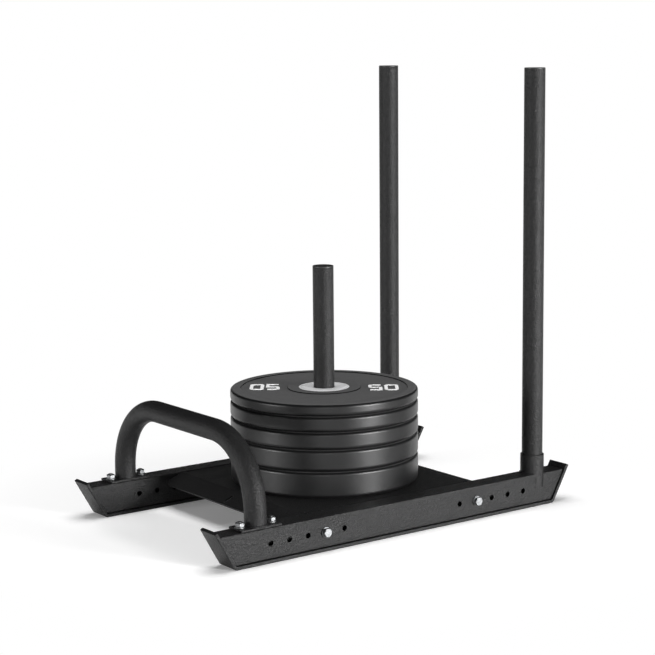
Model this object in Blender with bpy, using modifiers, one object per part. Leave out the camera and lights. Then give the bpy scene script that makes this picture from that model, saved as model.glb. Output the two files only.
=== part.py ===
"""Weight sled with five bumper plates on its pin.

Two box-tube runners stand on bent flat-bar skids. A folded sheet pan is bolted between them and
carries the weight pin. Two push poles stand in sockets at the rear end of the runners, and a low
tube handle is bolted across their front end.

Frame: the origin is on the floor under the weight pin, +X points to the push poles (the rear),
+Y to the right hand of the person who pushes, +Z up. All lengths are in metres.
"""

import math

import bmesh
import bpy
from mathutils import Matrix, Vector

# Clearances
TOUCH_GAP = 0.0003
POLE_PLAY = 0.0005
PLATE_PLAY = 0.0005
BOLT_PLAY = 0.0005
THREAD_PLAY = 0.0003

# Cutters run this far past what they cut, and points closer than these distances are one
CUT_MARGIN = 0.010
SAME_POINT = 1e-6
SAME_SEAM = 1e-5

# Runners: a box tube each, with slanted ends that the skid closes
RUNNER_SPACING = 0.554
RUNNER_WIDTH = 0.050
RUNNER_HEIGHT = 0.070
RUNNER_WALL = 0.003
RUNNER_CORNER_RADIUS = 0.0025
RUNNER_END_CHAMFER = 0.003

# Skids: a flat bar each, turned up at both ends
SKID_WIDTH = 0.060
SKID_THICKNESS = 0.008
SKID_FLOOR_LENGTH = 0.934
SKID_ANGLE = math.radians(60)
SKID_TIP_HEIGHT = 0.0825
SKID_BEND_RADIUS = 0.004

# Rows of holes along both walls of a runner. The outermost hole is this far in from the end of
# the skid's flat stretch, and the pan is bolted to the hole this many pitches further in
HOLE_PITCH = 0.050
HOLES_PER_ROW = 5
HOLE_ROW_SETBACK = 0.096
PAN_BOLT_HOLE = 3

# Push poles and their sockets, set back from the rear end of the skid's flat stretch
POLE_SETBACK = 0.0465
POLE_RADIUS = 0.025
POLE_WALL = 0.003
POLE_LENGTH = 1.000
SOCKET_WALL = 0.003
SOCKET_LENGTH = 0.080
SOCKET_STAND = 0.0457
SOCKET_FLOOR = 0.005
SOCKET_CHAMFER = 0.001

# Caps on the poles and the pin
CAP_HEAD = 0.003
CAP_CHAMFER = 0.001
CAP_SKIRT = 0.020
CAP_WALL = 0.002

# Low handle: one bent tube on two foot plates, set back from the skid's front end
HANDLE_SETBACK = 0.0755
HANDLE_RADIUS = 0.025
HANDLE_WALL = 0.003
HANDLE_TOP = 0.2675
HANDLE_BEND_RADIUS = 0.156
FOOT_LENGTH = 0.106
FOOT_THICKNESS = 0.005
FOOT_BOLT_OFFSET = 0.041

# Pan: sheet folded down at the runners and, less far, at its front and rear edges. It runs on
# past its bolts by the end margin
PAN_END_MARGIN = 0.0265
PAN_DROP = 0.0005
PAN_THICKNESS = 0.004
PAN_FLANGE_HEIGHT = 0.058
PAN_FLANGE_BEND = 0.006
PAN_LIP_LENGTH = 0.056
PAN_LIP_ANGLE = math.radians(20)
PAN_LIP_CLIP = 0.016
PAN_LIP_BEND = 0.012
PAN_TAB_LENGTH = 0.008
PAN_RELIEF_WIDTH = 0.005
PAN_RELIEF_DEPTH = 0.002
TOW_SLOT_LENGTH = 0.034
TOW_SLOT_WIDTH = 0.008
TOW_SLOT_EDGE = 0.004

# Weight pin, its base plate and its bolt
PIN_RADIUS = 0.025
PIN_WALL = 0.004
PIN_LENGTH = 0.5135
PIN_PLUG = 0.025
BASE_PLATE_SIDE = 0.120
BASE_PLATE_THICKNESS = 0.006
PIN_BOLT_RADIUS = 0.008
PIN_BOLT_REACH = 0.020

# Bumper plates, from the pan up: the number that names each and its thickness
PLATES = ((25, 0.0620), (20, 0.0510), (15, 0.0410), (10, 0.0370), (5, 0.0280))
PLATE_RADIUS = 0.225
PLATE_TOP_ROUND = 0.005
PLATE_BOTTOM_ROUND = 0.0045
PLATE_RIM_WIDTH = 0.025
PLATE_BOSS_RADIUS = 0.087
PLATE_FACE_RECESS = 0.0015
HUB_RADIUS = 0.0605
HUB_CHAMFER = 0.0015

# Fasteners: the M12 size that holds pan and handle, and what is common to all
BOLT_RADIUS = 0.006
BOLT_STUB = 0.002
BOLT_POINT = 0.001
NUT_HEIGHT_SHARE = 0.70
HEAD_HEIGHT_SHARE = 0.63
HEX_SHARE = 1.55
WASHER_SHARE = 1.92
WASHER_THICKNESS = 0.0025
STUD_HEAD_RADIUS = 0.010
STUD_HEAD_HEIGHT = 0.004

# Facets
ROUND_STEPS = 20
PLATE_STEPS = 28
FASTENER_STEPS = 12
FOLD_FACET = math.radians(15)
HANDLE_BEVEL_RESOLUTION = 6
SMOOTH_ANGLE = math.radians(35)

# Levels and places that follow from the sizes
BOLT_HOLE = BOLT_RADIUS + BOLT_PLAY
NUT_HEIGHT = 2 * BOLT_RADIUS * NUT_HEIGHT_SHARE
FLAT_END_X = SKID_FLOOR_LENGTH / 2
HANDLE_X = HANDLE_SETBACK - FLAT_END_X
POLE_X = FLAT_END_X - POLE_SETBACK
LAST_HOLE_X = FLAT_END_X - HOLE_ROW_SETBACK
RUNNER_Y = RUNNER_SPACING / 2
RUNNER_BOTTOM = SKID_THICKNESS + TOUCH_GAP
RUNNER_TOP = RUNNER_BOTTOM + RUNNER_HEIGHT
HOLE_Z = RUNNER_BOTTOM + RUNNER_HEIGHT / 2
SOCKET_RADIUS = POLE_RADIUS + POLE_PLAY + SOCKET_WALL
SOCKET_TOP = RUNNER_TOP + SOCKET_STAND
SOCKET_BOTTOM = SOCKET_TOP - SOCKET_LENGTH
POLE_BOTTOM = SOCKET_BOTTOM + SOCKET_FLOOR + TOUCH_GAP
FOOT_BOTTOM = RUNNER_TOP + TOUCH_GAP
FOOT_TOP = FOOT_BOTTOM + FOOT_THICKNESS
PAN_TOP = RUNNER_TOP - PAN_DROP
PAN_UNDERSIDE = PAN_TOP - PAN_THICKNESS
PAN_HALF_WIDTH = RUNNER_Y - RUNNER_WIDTH / 2 - TOUCH_GAP
PAN_BOLT_X = LAST_HOLE_X - PAN_BOLT_HOLE * HOLE_PITCH
PAN_END_X = PAN_BOLT_X + PAN_END_MARGIN
BASE_PLATE_TOP = PAN_UNDERSIDE - TOUCH_GAP
PIN_BOTTOM = BASE_PLATE_TOP + TOUCH_GAP
PLATE_STACK_BOTTOM = PAN_TOP + TOUCH_GAP

COLOURS = {
    "powder_coat": ((0.010, 0.010, 0.010), 0.65, 0.0),
    "pan_coat": ((0.006, 0.006, 0.006), 0.60, 0.0),
    "cap_plastic": ((0.014, 0.014, 0.014), 0.45, 0.0),
    "rubber": ((0.065, 0.065, 0.066), 0.55, 0.0),
    "hub_steel": ((0.78, 0.78, 0.79), 0.50, 1.0),
    "zinc": ((0.70, 0.70, 0.71), 0.30, 1.0),
}


def clear_scene():
    for obj in list(bpy.data.objects):
        bpy.data.objects.remove(obj, do_unlink=True)


def make_collection(name):
    collection = bpy.data.collections.new(name)
    bpy.context.scene.collection.children.link(collection)
    return collection


def make_material(name):
    colour, roughness, metallic = COLOURS[name]
    material = bpy.data.materials.new(name)
    material.use_nodes = True
    shader = material.node_tree.nodes["Principled BSDF"]
    shader.inputs["Base Color"].default_value = (*colour, 1.0)
    shader.inputs["Roughness"].default_value = roughness
    shader.inputs["Metallic"].default_value = metallic
    return material


clear_scene()
SLED = make_collection("weight_sled")
CUTTERS = make_collection("cutters")
MATERIALS = {name: make_material(name) for name in COLOURS}


# Making and shaping meshes


def new_object(name, data, collection):
    obj = bpy.data.objects.new(name, data)
    collection.objects.link(obj)
    return obj


def mesh_from(name, bm):
    mesh = bpy.data.meshes.new(name)
    bmesh.ops.recalc_face_normals(bm, faces=bm.faces)
    bm.to_mesh(mesh)
    bm.free()
    return mesh


def baked(source):
    """The evaluated shape of a helper object as a welded mesh. The helper is removed."""
    bpy.context.view_layer.update()
    graph = bpy.context.evaluated_depsgraph_get()
    mesh = bpy.data.meshes.new_from_object(source.evaluated_get(graph))
    mesh.transform(source.matrix_world)
    bm = bmesh.new()
    bm.from_mesh(mesh)
    bmesh.ops.remove_doubles(bm, verts=bm.verts, dist=SAME_POINT)
    bm.to_mesh(mesh)
    bm.free()
    mesh.shade_smooth()
    mesh.set_sharp_from_angle(angle=SMOOTH_ANGLE)
    bpy.data.objects.remove(source, do_unlink=True)
    return mesh


def turned(profile, steps, ring=False):
    """A turned mesh. Its (radius, height) points run down the outer side. A ring's profile is
    closed, and any other one starts and ends on the axis."""
    bm = bmesh.new()
    points = [bm.verts.new((radius, 0, height)) for radius, height in profile]
    followers = points[1:] + points[:1] if ring else points[1:]
    for point, follower in zip(points, followers):
        bm.edges.new((point, follower))
    mesh = bpy.data.meshes.new("profile")
    bm.to_mesh(mesh)
    bm.free()
    helper = new_object("turning", mesh, CUTTERS)
    screw = helper.modifiers.new("Turn", "SCREW")
    screw.steps = steps
    screw.render_steps = steps
    screw.use_merge_vertices = True
    screw.merge_threshold = SAME_SEAM
    return baked(helper)


def outlined(outline, width):
    """A flat piece: a closed outline in X and Z, extruded to both sides along Y."""
    curve = bpy.data.curves.new("outline", "CURVE")
    curve.dimensions = "2D"
    curve.fill_mode = "BOTH"
    curve.extrude = width / 2
    spline = curve.splines.new("POLY")
    spline.points.add(len(outline) - 1)
    for point, (x, z) in zip(spline.points, outline):
        point.co = (x, z, 0, 1)
    spline.use_cyclic_u = True
    helper = new_object("outline", curve, CUTTERS)
    helper.rotation_euler.x = math.pi / 2
    return baked(helper)


def block(size, centre):
    bm = bmesh.new()
    place = Matrix.Translation(centre) @ Matrix.Diagonal((*size, 1))
    bmesh.ops.create_cube(bm, size=1, matrix=place)
    return mesh_from("block", bm)


def rods(centres, radius, length, steps, turn=Matrix()):
    """Separate cylinders in one mesh, upright unless turned."""
    bm = bmesh.new()
    for centre in centres:
        bmesh.ops.create_cone(
            bm,
            cap_ends=True,
            segments=steps,
            radius1=radius,
            radius2=radius,
            depth=length,
            matrix=Matrix.Translation(centre) @ turn,
        )
    return mesh_from("rods", bm)


def combined(mesh, others, operation):
    """The mesh with each of the others cut out of it or joined to it."""
    body = new_object("body", mesh, CUTTERS)
    helpers = []
    for other in others:
        helper = new_object("cutter", other, CUTTERS)
        helper.hide_render = True
        helper.display_type = "WIRE"
        helpers.append(helper)
        boolean = body.modifiers.new(operation, "BOOLEAN")
        boolean.operation = operation
        boolean.object = helper
    result = baked(body)
    for helper in helpers:
        bpy.data.objects.remove(helper, do_unlink=True)
    return result


def cut(mesh, *cutters):
    return combined(mesh, cutters, "DIFFERENCE")


def joined(mesh, *others):
    return combined(mesh, others, "UNION")


def rounded(mesh, chosen, radius, steps=2):
    """The mesh with a round of this radius on the corner edges that chosen(start, end) picks."""
    bm = bmesh.new()
    bm.from_mesh(mesh)
    corners = [edge for edge in bm.edges if edge.calc_face_angle() > SMOOTH_ANGLE]
    edges = [edge for edge in corners if chosen(edge.verts[0].co, edge.verts[1].co)]
    bmesh.ops.bevel(
        bm,
        geom=edges,
        offset=radius,
        offset_type="OFFSET",
        segments=steps,
        profile=0.5,
        affect="EDGES",
    )
    bm.to_mesh(mesh)
    bm.free()
    return mesh


def place(name, mesh, material, location, turn=(0, 0, 0), parent=None):
    """One sub-part of the sled, at its own place."""
    obj = new_object(name, mesh, SLED)
    obj.location = location
    obj.rotation_euler = turn
    obj.parent = parent
    if not mesh.materials:
        mesh.materials.append(MATERIALS[material])
    return obj


def guide(name, location, parent=None):
    """An empty on the axis along which a loose piece is lifted off."""
    empty = new_object(name, None, SLED)
    empty.location = location
    empty.parent = parent
    return empty


def arc(centre, radius, start, end, facet=FOLD_FACET):
    """Points of an arc in a plane, both ends included, with a point every facet angle or so."""
    steps = max(2, round(abs(end - start) / facet))
    angles = [start + (end - start) * step / steps for step in range(steps + 1)]
    return [(centre[0] + radius * math.cos(a), centre[1] + radius * math.sin(a)) for a in angles]


# Fasteners


def hex_prism(radius, height):
    """A hexagon whose flats touch the circle of this radius, standing on its origin."""
    corner = radius / math.cos(math.pi / 6)
    return rods([(0, 0, height / 2)], corner, height, 6)


def hex_bolt(radius, length):
    """A bolt along +Z: its head is under the origin, and its shank above it."""
    head_height = 2 * radius * HEAD_HEIGHT_SHARE
    head = hex_prism(radius * HEX_SHARE, head_height)
    head.transform(Matrix.Translation((0, 0, -head_height)))
    point = length - BOLT_POINT
    shank = turned(
        [(0, length), (radius - BOLT_POINT, length), (radius, point)]
        + [(radius, -head_height / 2), (0, -head_height / 2)],
        FASTENER_STEPS,
    )
    return joined(head, shank)


def hex_nut(radius):
    """A nut that stands on the origin."""
    height = 2 * radius * NUT_HEIGHT_SHARE
    reach = height + 2 * CUT_MARGIN
    bore = rods([(0, 0, height / 2)], radius + THREAD_PLAY, reach, FASTENER_STEPS)
    return cut(hex_prism(radius * HEX_SHARE, height), bore)


def washer(radius):
    """A flat washer that stands on the origin."""
    outer = radius * WASHER_SHARE
    inner = radius + BOLT_PLAY
    top = WASHER_THICKNESS
    return turned([(outer, top), (outer, 0), (inner, 0), (inner, top)], FASTENER_STEPS, True)


def weld_stud(length):
    """A threaded stud along +Z with a flat head under the origin."""
    return turned(
        [(0, length), (BOLT_RADIUS - BOLT_POINT, length), (BOLT_RADIUS, length - BOLT_POINT)]
        + [(BOLT_RADIUS, 0), (STUD_HEAD_RADIUS, 0)]
        + [(STUD_HEAD_RADIUS, -STUD_HEAD_HEIGHT), (0, -STUD_HEAD_HEIGHT)],
        FASTENER_STEPS,
    )


# Runners and skids


def skid_end_x(height, depth):
    """Where a plane at this depth inside the turned-up end's outer face is, at this height."""
    return FLAT_END_X + height / math.tan(SKID_ANGLE) - depth / math.sin(SKID_ANGLE)


def mirrored(points):
    """Points at +X, then the same ones at -X in the opposite order."""
    return points + [(-x, z) for x, z in reversed(points)]


def skid_mesh():
    """A flat bar that lies on the floor and turns up at both ends."""
    slope = Vector((math.cos(SKID_ANGLE), math.sin(SKID_ANGLE)))
    inward = Vector((-slope.y, slope.x))
    tip = Vector((skid_end_x(SKID_TIP_HEIGHT, 0), SKID_TIP_HEIGHT))
    inner_tip = tip + inward * SKID_THICKNESS
    outer_radius = SKID_BEND_RADIUS + SKID_THICKNESS
    bend_x = FLAT_END_X - outer_radius * math.tan(SKID_ANGLE / 2)
    centre = (bend_x, outer_radius)
    low = -math.pi / 2
    high = low + SKID_ANGLE
    outside = [tuple(tip)] + arc(centre, outer_radius, high, low)
    inside = [tuple(inner_tip)] + arc(centre, SKID_BEND_RADIUS, high, low)
    return outlined(mirrored(outside) + mirrored(inside)[::-1], SKID_WIDTH)


def runner_mesh():
    """A box tube whose slanted ends meet the skid, notched for a pole socket, with its holes."""
    depth = SKID_THICKNESS + TOUCH_GAP
    corner_x = skid_end_x(RUNNER_BOTTOM, depth)
    rise_x = RUNNER_END_CHAMFER * math.cos(SKID_ANGLE)
    rise_z = RUNNER_END_CHAMFER * math.sin(SKID_ANGLE)
    outline = mirrored(
        [
            (corner_x - RUNNER_END_CHAMFER, RUNNER_BOTTOM),
            (corner_x + rise_x, RUNNER_BOTTOM + rise_z),
            (skid_end_x(RUNNER_TOP, depth), RUNNER_TOP),
        ]
    )

    def long_edge(start, end):
        return abs(start.z - end.z) < SAME_POINT and abs(start.x - end.x) > FLAT_END_X

    tube = rounded(outlined(outline, RUNNER_WIDTH), long_edge, RUNNER_CORNER_RADIUS)
    hollow_size = (
        2 * SKID_FLOOR_LENGTH,
        RUNNER_WIDTH - 2 * RUNNER_WALL,
        RUNNER_HEIGHT - 2 * RUNNER_WALL,
    )
    hollow = block(hollow_size, (0, 0, HOLE_Z))
    across = Matrix.Rotation(math.pi / 2, 4, "X")
    row = [LAST_HOLE_X - HOLE_PITCH * number for number in range(HOLES_PER_ROW)]
    side_holes = rods(
        [(end * x, 0, HOLE_Z) for end in (-1, 1) for x in row],
        BOLT_HOLE,
        RUNNER_WIDTH + 2 * CUT_MARGIN,
        FASTENER_STEPS,
        across,
    )
    stud_holes = rods(
        [(x, 0, RUNNER_TOP) for x in foot_bolt_places()],
        BOLT_HOLE,
        2 * (RUNNER_WALL + CUT_MARGIN),
        FASTENER_STEPS,
    )
    notch = rods(
        [(POLE_X, 0, SOCKET_BOTTOM + SOCKET_LENGTH / 2)],
        SOCKET_RADIUS + TOUCH_GAP,
        SOCKET_LENGTH + 2 * TOUCH_GAP,
        ROUND_STEPS,
    )
    return cut(tube, hollow, side_holes, stud_holes, notch)


def make_runners():
    runner = runner_mesh()
    skid = skid_mesh()
    for side, y in (("left", -RUNNER_Y), ("right", RUNNER_Y)):
        place(f"{side}_runner", runner, "powder_coat", (0, y, 0))
        place(f"{side}_skid", skid, "powder_coat", (0, y, 0))


# Push poles


def cap_mesh(bore_radius, head_radius):
    """A plug cap: its head lies on the tube's end, at the origin, and its skirt goes inside."""
    skirt = bore_radius - TOUCH_GAP
    head_bottom = TOUCH_GAP
    head_top = head_bottom + CAP_HEAD
    inner = skirt - CAP_WALL
    return turned(
        [
            (0, head_top),
            (head_radius - CAP_CHAMFER, head_top),
            (head_radius, head_top - CAP_CHAMFER),
            (head_radius, head_bottom),
            (skirt, head_bottom),
            (skirt, -CAP_SKIRT),
            (inner, -CAP_SKIRT),
            (inner, head_bottom),
            (0, head_bottom),
        ],
        ROUND_STEPS,
    )


def make_push_poles():
    bore = POLE_RADIUS + POLE_PLAY
    socket = turned(
        [
            (0, SOCKET_FLOOR),
            (bore, SOCKET_FLOOR),
            (bore, SOCKET_LENGTH),
            (SOCKET_RADIUS - SOCKET_CHAMFER, SOCKET_LENGTH),
            (SOCKET_RADIUS, SOCKET_LENGTH - SOCKET_CHAMFER),
            (SOCKET_RADIUS, 0),
            (0, 0),
        ],
        ROUND_STEPS,
    )
    inner = POLE_RADIUS - POLE_WALL
    pole = turned(
        [(POLE_RADIUS, POLE_LENGTH), (POLE_RADIUS, 0), (inner, 0), (inner, POLE_LENGTH)],
        ROUND_STEPS,
        True,
    )
    cap = cap_mesh(inner, POLE_RADIUS)
    for side, y in (("left", -RUNNER_Y), ("right", RUNNER_Y)):
        place(f"{side}_pole_socket", socket, "powder_coat", (POLE_X, y, SOCKET_BOTTOM))
        lift = guide(f"{side}_pole_lift", (POLE_X, y, POLE_BOTTOM))
        place(f"{side}_push_pole", pole, "powder_coat", (0, 0, 0), parent=lift)
        place(f"{side}_pole_cap", cap, "cap_plastic", (0, 0, POLE_LENGTH), parent=lift)


# Low handle


def foot_bolt_places():
    return [HANDLE_X - FOOT_BOLT_OFFSET, HANDLE_X + FOOT_BOLT_OFFSET]


def handle_mesh():
    """A tube bent to a U in the plane X = 0, open at both feet."""
    bend_y = RUNNER_Y - HANDLE_BEND_RADIUS
    bend_z = HANDLE_TOP - HANDLE_BEND_RADIUS
    quarter = arc((bend_y, bend_z), HANDLE_BEND_RADIUS, 0, math.pi / 2)
    half = [(RUNNER_Y, FOOT_TOP + TOUCH_GAP)] + quarter
    path = mirrored(half)
    curve = bpy.data.curves.new("handle_path", "CURVE")
    curve.dimensions = "3D"
    curve.bevel_depth = HANDLE_RADIUS
    curve.bevel_resolution = HANDLE_BEVEL_RESOLUTION
    spline = curve.splines.new("POLY")
    spline.points.add(len(path) - 1)
    for point, (y, z) in zip(spline.points, path):
        point.co = (0, y, z, 1)
    tube = baked(new_object("handle_path", curve, CUTTERS))
    shell = new_object("handle_shell", tube, CUTTERS)
    wall = shell.modifiers.new("Wall", "SOLIDIFY")
    wall.thickness = HANDLE_WALL
    wall.offset = -1
    wall.use_even_offset = True
    return baked(shell)


def foot_mesh():
    """A flat plate with two holes. The tube's end is welded on its middle."""
    plate = block((FOOT_LENGTH, RUNNER_WIDTH, FOOT_THICKNESS), (0, 0, FOOT_THICKNESS / 2))
    holes = rods(
        [(-FOOT_BOLT_OFFSET, 0, 0), (FOOT_BOLT_OFFSET, 0, 0)],
        BOLT_HOLE,
        2 * (FOOT_THICKNESS + CUT_MARGIN),
        FASTENER_STEPS,
    )
    return cut(plate, holes)


def make_handle():
    place("low_handle", handle_mesh(), "powder_coat", (HANDLE_X, 0, 0))
    foot = foot_mesh()
    stud_base = RUNNER_TOP - RUNNER_WALL - TOUCH_GAP
    washer_base = FOOT_TOP + TOUCH_GAP
    nut_base = washer_base + WASHER_THICKNESS + TOUCH_GAP
    stud = weld_stud(nut_base + NUT_HEIGHT + BOLT_STUB - stud_base)
    ring = washer(BOLT_RADIUS)
    nut = hex_nut(BOLT_RADIUS)
    for side, y in (("left", -RUNNER_Y), ("right", RUNNER_Y)):
        place(f"{side}_handle_foot", foot, "powder_coat", (HANDLE_X, y, FOOT_BOTTOM))
        for end, x in zip(("front", "rear"), foot_bolt_places()):
            label = f"{side}_handle_{end}"
            place(f"{label}_stud", stud, "zinc", (x, y, stud_base))
            place(f"{label}_washer", ring, "zinc", (x, y, washer_base))
            place(f"{label}_nut", nut, "zinc", (x, y, nut_base))


# Pan


def fold(bm, edge, outward, bend_radius, angle, length, clip=0):
    """Adds a flap to an open edge: a bend of this outer radius down through this angle, and a
    straight stretch to this length, measured from where the two flat sides would meet. Its
    corners can be clipped at 45 degrees."""
    start, end = (vert.co.copy() for vert in edge)
    along = (end - start).normalized()
    bend = arc((0, bend_radius), bend_radius, -math.pi / 2, angle - math.pi / 2)
    rows = [(across, down, 0) for across, down in bend[1:]]
    straight = length - bend_radius * math.tan(angle / 2)
    stretches = [(straight - clip, 0), (straight, clip)] if clip else [(straight, 0)]
    for stretch, inset in stretches:
        across = bend[-1][0] + stretch * math.cos(angle)
        down = bend[-1][1] + stretch * math.sin(angle)
        rows.append((across, down, inset))
    row = edge
    for across, down, inset in rows:
        shift = outward * across - Vector((0, 0, down))
        ends = (start + shift + along * inset, end + shift - along * inset)
        following = [bm.verts.new(point) for point in ends]
        bm.faces.new((row[0], row[1], following[1], following[0]))
        row = following


def pan_mesh():
    """The folded sheet: its upper side first, then its thickness and its holes."""
    flat_x = PAN_END_X - PAN_LIP_BEND * math.tan(PAN_LIP_ANGLE / 2)
    tab_x = flat_x - PAN_TAB_LENGTH
    flange_x = tab_x - PAN_RELIEF_WIDTH
    flat_y = PAN_HALF_WIDTH - PAN_FLANGE_BEND
    relief_y = flat_y - PAN_RELIEF_DEPTH
    quarter = [
        (flat_x, PAN_HALF_WIDTH),
        (tab_x, PAN_HALF_WIDTH),
        (tab_x, relief_y),
        (flange_x, relief_y),
        (flange_x, flat_y),
    ]
    half = mirrored(quarter)
    bm = bmesh.new()
    verts = [bm.verts.new((x, y, PAN_TOP)) for x, y in half]
    verts += [bm.verts.new((-x, -y, PAN_TOP)) for x, y in half]
    bm.faces.new(verts)
    count = len(verts)
    for corner, outward in ((count // 2 - 1, Vector((-1, 0, 0))), (count - 1, Vector((1, 0, 0)))):
        edge = (verts[corner], verts[(corner + 1) % count])
        fold(bm, edge, outward, PAN_LIP_BEND, PAN_LIP_ANGLE, PAN_LIP_LENGTH, PAN_LIP_CLIP)
    for corner, outward in (
        (len(quarter) - 1, Vector((0, 1, 0))),
        (len(quarter) - 1 + count // 2, Vector((0, -1, 0))),
    ):
        edge = (verts[corner], verts[corner + 1])
        fold(bm, edge, outward, PAN_FLANGE_BEND, math.pi / 2, PAN_FLANGE_HEIGHT)
    sheet = new_object("sheet", mesh_from("sheet", bm), CUTTERS)
    thickness = sheet.modifiers.new("Thickness", "SOLIDIFY")
    thickness.thickness = PAN_THICKNESS
    thickness.offset = -1
    thickness.use_even_offset = True
    bolt_places = [(-PAN_BOLT_X, 0, HOLE_Z), (PAN_BOLT_X, 0, HOLE_Z)]
    across = Matrix.Rotation(math.pi / 2, 4, "X")
    width = 2 * (PAN_HALF_WIDTH + CUT_MARGIN)
    bolt_holes = rods(bolt_places, BOLT_HOLE, width, FASTENER_STEPS, across)
    depth = 2 * (PAN_THICKNESS + CUT_MARGIN)
    pin_hole = rods([(0, 0, PAN_TOP)], PIN_RADIUS + TOUCH_GAP, depth, ROUND_STEPS)
    return cut(baked(sheet), bolt_holes, pin_hole, tow_slot_cutter())


def tow_slot_cutter():
    """A round-ended bar that cuts the tow slot square through the front lip."""
    half = TOW_SLOT_WIDTH / 2
    reach = TOW_SLOT_LENGTH / 2 - half
    ends = mirrored(arc((reach, 0), half, -math.pi / 2, math.pi / 2, 2 * FOLD_FACET))
    bar = outlined(ends, 2 * (PAN_THICKNESS + CUT_MARGIN))
    bar.transform(Matrix.Rotation(math.pi / 2, 4, "X"))
    middle = PAN_LIP_LENGTH - TOW_SLOT_EDGE - TOW_SLOT_LENGTH / 2
    x = -PAN_END_X - middle * math.cos(PAN_LIP_ANGLE)
    z = PAN_TOP - middle * math.sin(PAN_LIP_ANGLE)
    tilt = Matrix.Rotation(-PAN_LIP_ANGLE, 4, "Y")
    bar.transform(Matrix.Translation((x, 0, z)) @ tilt)
    return bar


def make_pan():
    place("base_pan", pan_mesh(), "pan_coat", (0, 0, 0))
    bolt_seat = WASHER_THICKNESS + 2 * TOUCH_GAP
    flange_inner = RUNNER_WIDTH + TOUCH_GAP + PAN_THICKNESS
    shank = bolt_seat + flange_inner + bolt_seat + NUT_HEIGHT + BOLT_STUB
    bolt = hex_bolt(BOLT_RADIUS, shank)
    ring = washer(BOLT_RADIUS)
    nut = hex_nut(BOLT_RADIUS)
    outer_washer = TOUCH_GAP
    inner_washer = bolt_seat + flange_inner + TOUCH_GAP
    nut_seat = inner_washer + WASHER_THICKNESS + TOUCH_GAP
    for side, sign in (("left", -1), ("right", 1)):
        turn = (sign * math.pi / 2, 0, 0)
        seat_y = sign * (RUNNER_Y + RUNNER_WIDTH / 2 + bolt_seat)
        for end, x in (("front", -PAN_BOLT_X), ("rear", PAN_BOLT_X)):
            label = f"{side}_pan_{end}"
            place(f"{label}_bolt", bolt, "zinc", (x, seat_y, HOLE_Z), turn)
            for piece, mesh, along in (
                ("outer_washer", ring, outer_washer),
                ("inner_washer", ring, inner_washer),
                ("nut", nut, nut_seat),
            ):
                y = seat_y - sign * along
                place(f"{label}_{piece}", mesh, "zinc", (x, y, HOLE_Z), turn)


# Weight pin


def make_pin():
    inner = PIN_RADIUS - PIN_WALL
    thread = PIN_BOLT_RADIUS + THREAD_PLAY
    pin = turned(
        [
            (PIN_RADIUS, PIN_LENGTH),
            (PIN_RADIUS, 0),
            (thread, 0),
            (thread, PIN_PLUG),
            (inner, PIN_PLUG),
            (inner, PIN_LENGTH),
        ],
        ROUND_STEPS,
        True,
    )
    plate_bottom = BASE_PLATE_TOP - BASE_PLATE_THICKNESS
    side = BASE_PLATE_SIDE
    reach = 2 * (BASE_PLATE_THICKNESS + CUT_MARGIN)
    plate = cut(
        block((side, side, BASE_PLATE_THICKNESS), (0, 0, -BASE_PLATE_THICKNESS / 2)),
        rods([(0, 0, 0)], PIN_BOLT_RADIUS + BOLT_PLAY, reach, FASTENER_STEPS),
    )
    washer_base = plate_bottom - TOUCH_GAP - WASHER_THICKNESS
    head_top = washer_base - TOUCH_GAP
    bolt = hex_bolt(PIN_BOLT_RADIUS, PIN_BOTTOM + PIN_BOLT_REACH - head_top)
    place("weight_pin", pin, "powder_coat", (0, 0, PIN_BOTTOM))
    place("pin_cap", cap_mesh(inner, PIN_RADIUS), "cap_plastic", (0, 0, PIN_BOTTOM + PIN_LENGTH))
    place("pin_base_plate", plate, "pan_coat", (0, 0, BASE_PLATE_TOP))
    place("pin_washer", washer(PIN_BOLT_RADIUS), "zinc", (0, 0, washer_base))
    place("pin_bolt", bolt, "zinc", (0, 0, head_top))


# Bumper plates


def rubber_mesh(thickness):
    """A rubber disc with a raised rim and boss on both faces and a round outer edge."""
    bore = HUB_RADIUS + TOUCH_GAP
    rim = PLATE_RADIUS - PLATE_RIM_WIDTH
    top = thickness
    face = thickness - PLATE_FACE_RECESS
    upper = arc(
        (PLATE_RADIUS - PLATE_TOP_ROUND, top - PLATE_TOP_ROUND),
        PLATE_TOP_ROUND,
        math.pi / 2,
        0,
        3 * FOLD_FACET,
    )
    lower = arc(
        (PLATE_RADIUS - PLATE_BOTTOM_ROUND, PLATE_BOTTOM_ROUND),
        PLATE_BOTTOM_ROUND,
        0,
        -math.pi / 2,
        3 * FOLD_FACET,
    )
    return turned(
        [(bore, top), (PLATE_BOSS_RADIUS, top), (PLATE_BOSS_RADIUS, face), (rim, face), (rim, top)]
        + upper
        + lower
        + [
            (rim, 0),
            (rim, PLATE_FACE_RECESS),
            (PLATE_BOSS_RADIUS, PLATE_FACE_RECESS),
            (PLATE_BOSS_RADIUS, 0),
            (bore, 0),
        ],
        PLATE_STEPS,
        True,
    )


def hub_mesh(thickness):
    """The steel insert that the rubber is moulded round, bored to slide over the pin."""
    bore = PIN_RADIUS + PLATE_PLAY
    mouth = bore + HUB_CHAMFER
    return turned(
        [
            (mouth, thickness),
            (HUB_RADIUS, thickness),
            (HUB_RADIUS, 0),
            (mouth, 0),
            (bore, HUB_CHAMFER),
            (bore, thickness - HUB_CHAMFER),
        ],
        PLATE_STEPS,
        True,
    )


def make_plates():
    """Each plate lies on the one below it and is lifted off with those above."""
    base = PLATE_STACK_BOTTOM
    parent = None
    for number, thickness in PLATES:
        lift = guide(f"plate_{number:02d}_lift", (0, 0, base), parent)
        place(f"plate_{number:02d}_rubber", rubber_mesh(thickness), "rubber", (0, 0, 0), parent=lift)
        place(f"plate_{number:02d}_hub", hub_mesh(thickness), "hub_steel", (0, 0, 0), parent=lift)
        base = thickness + TOUCH_GAP
        parent = lift


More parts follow.
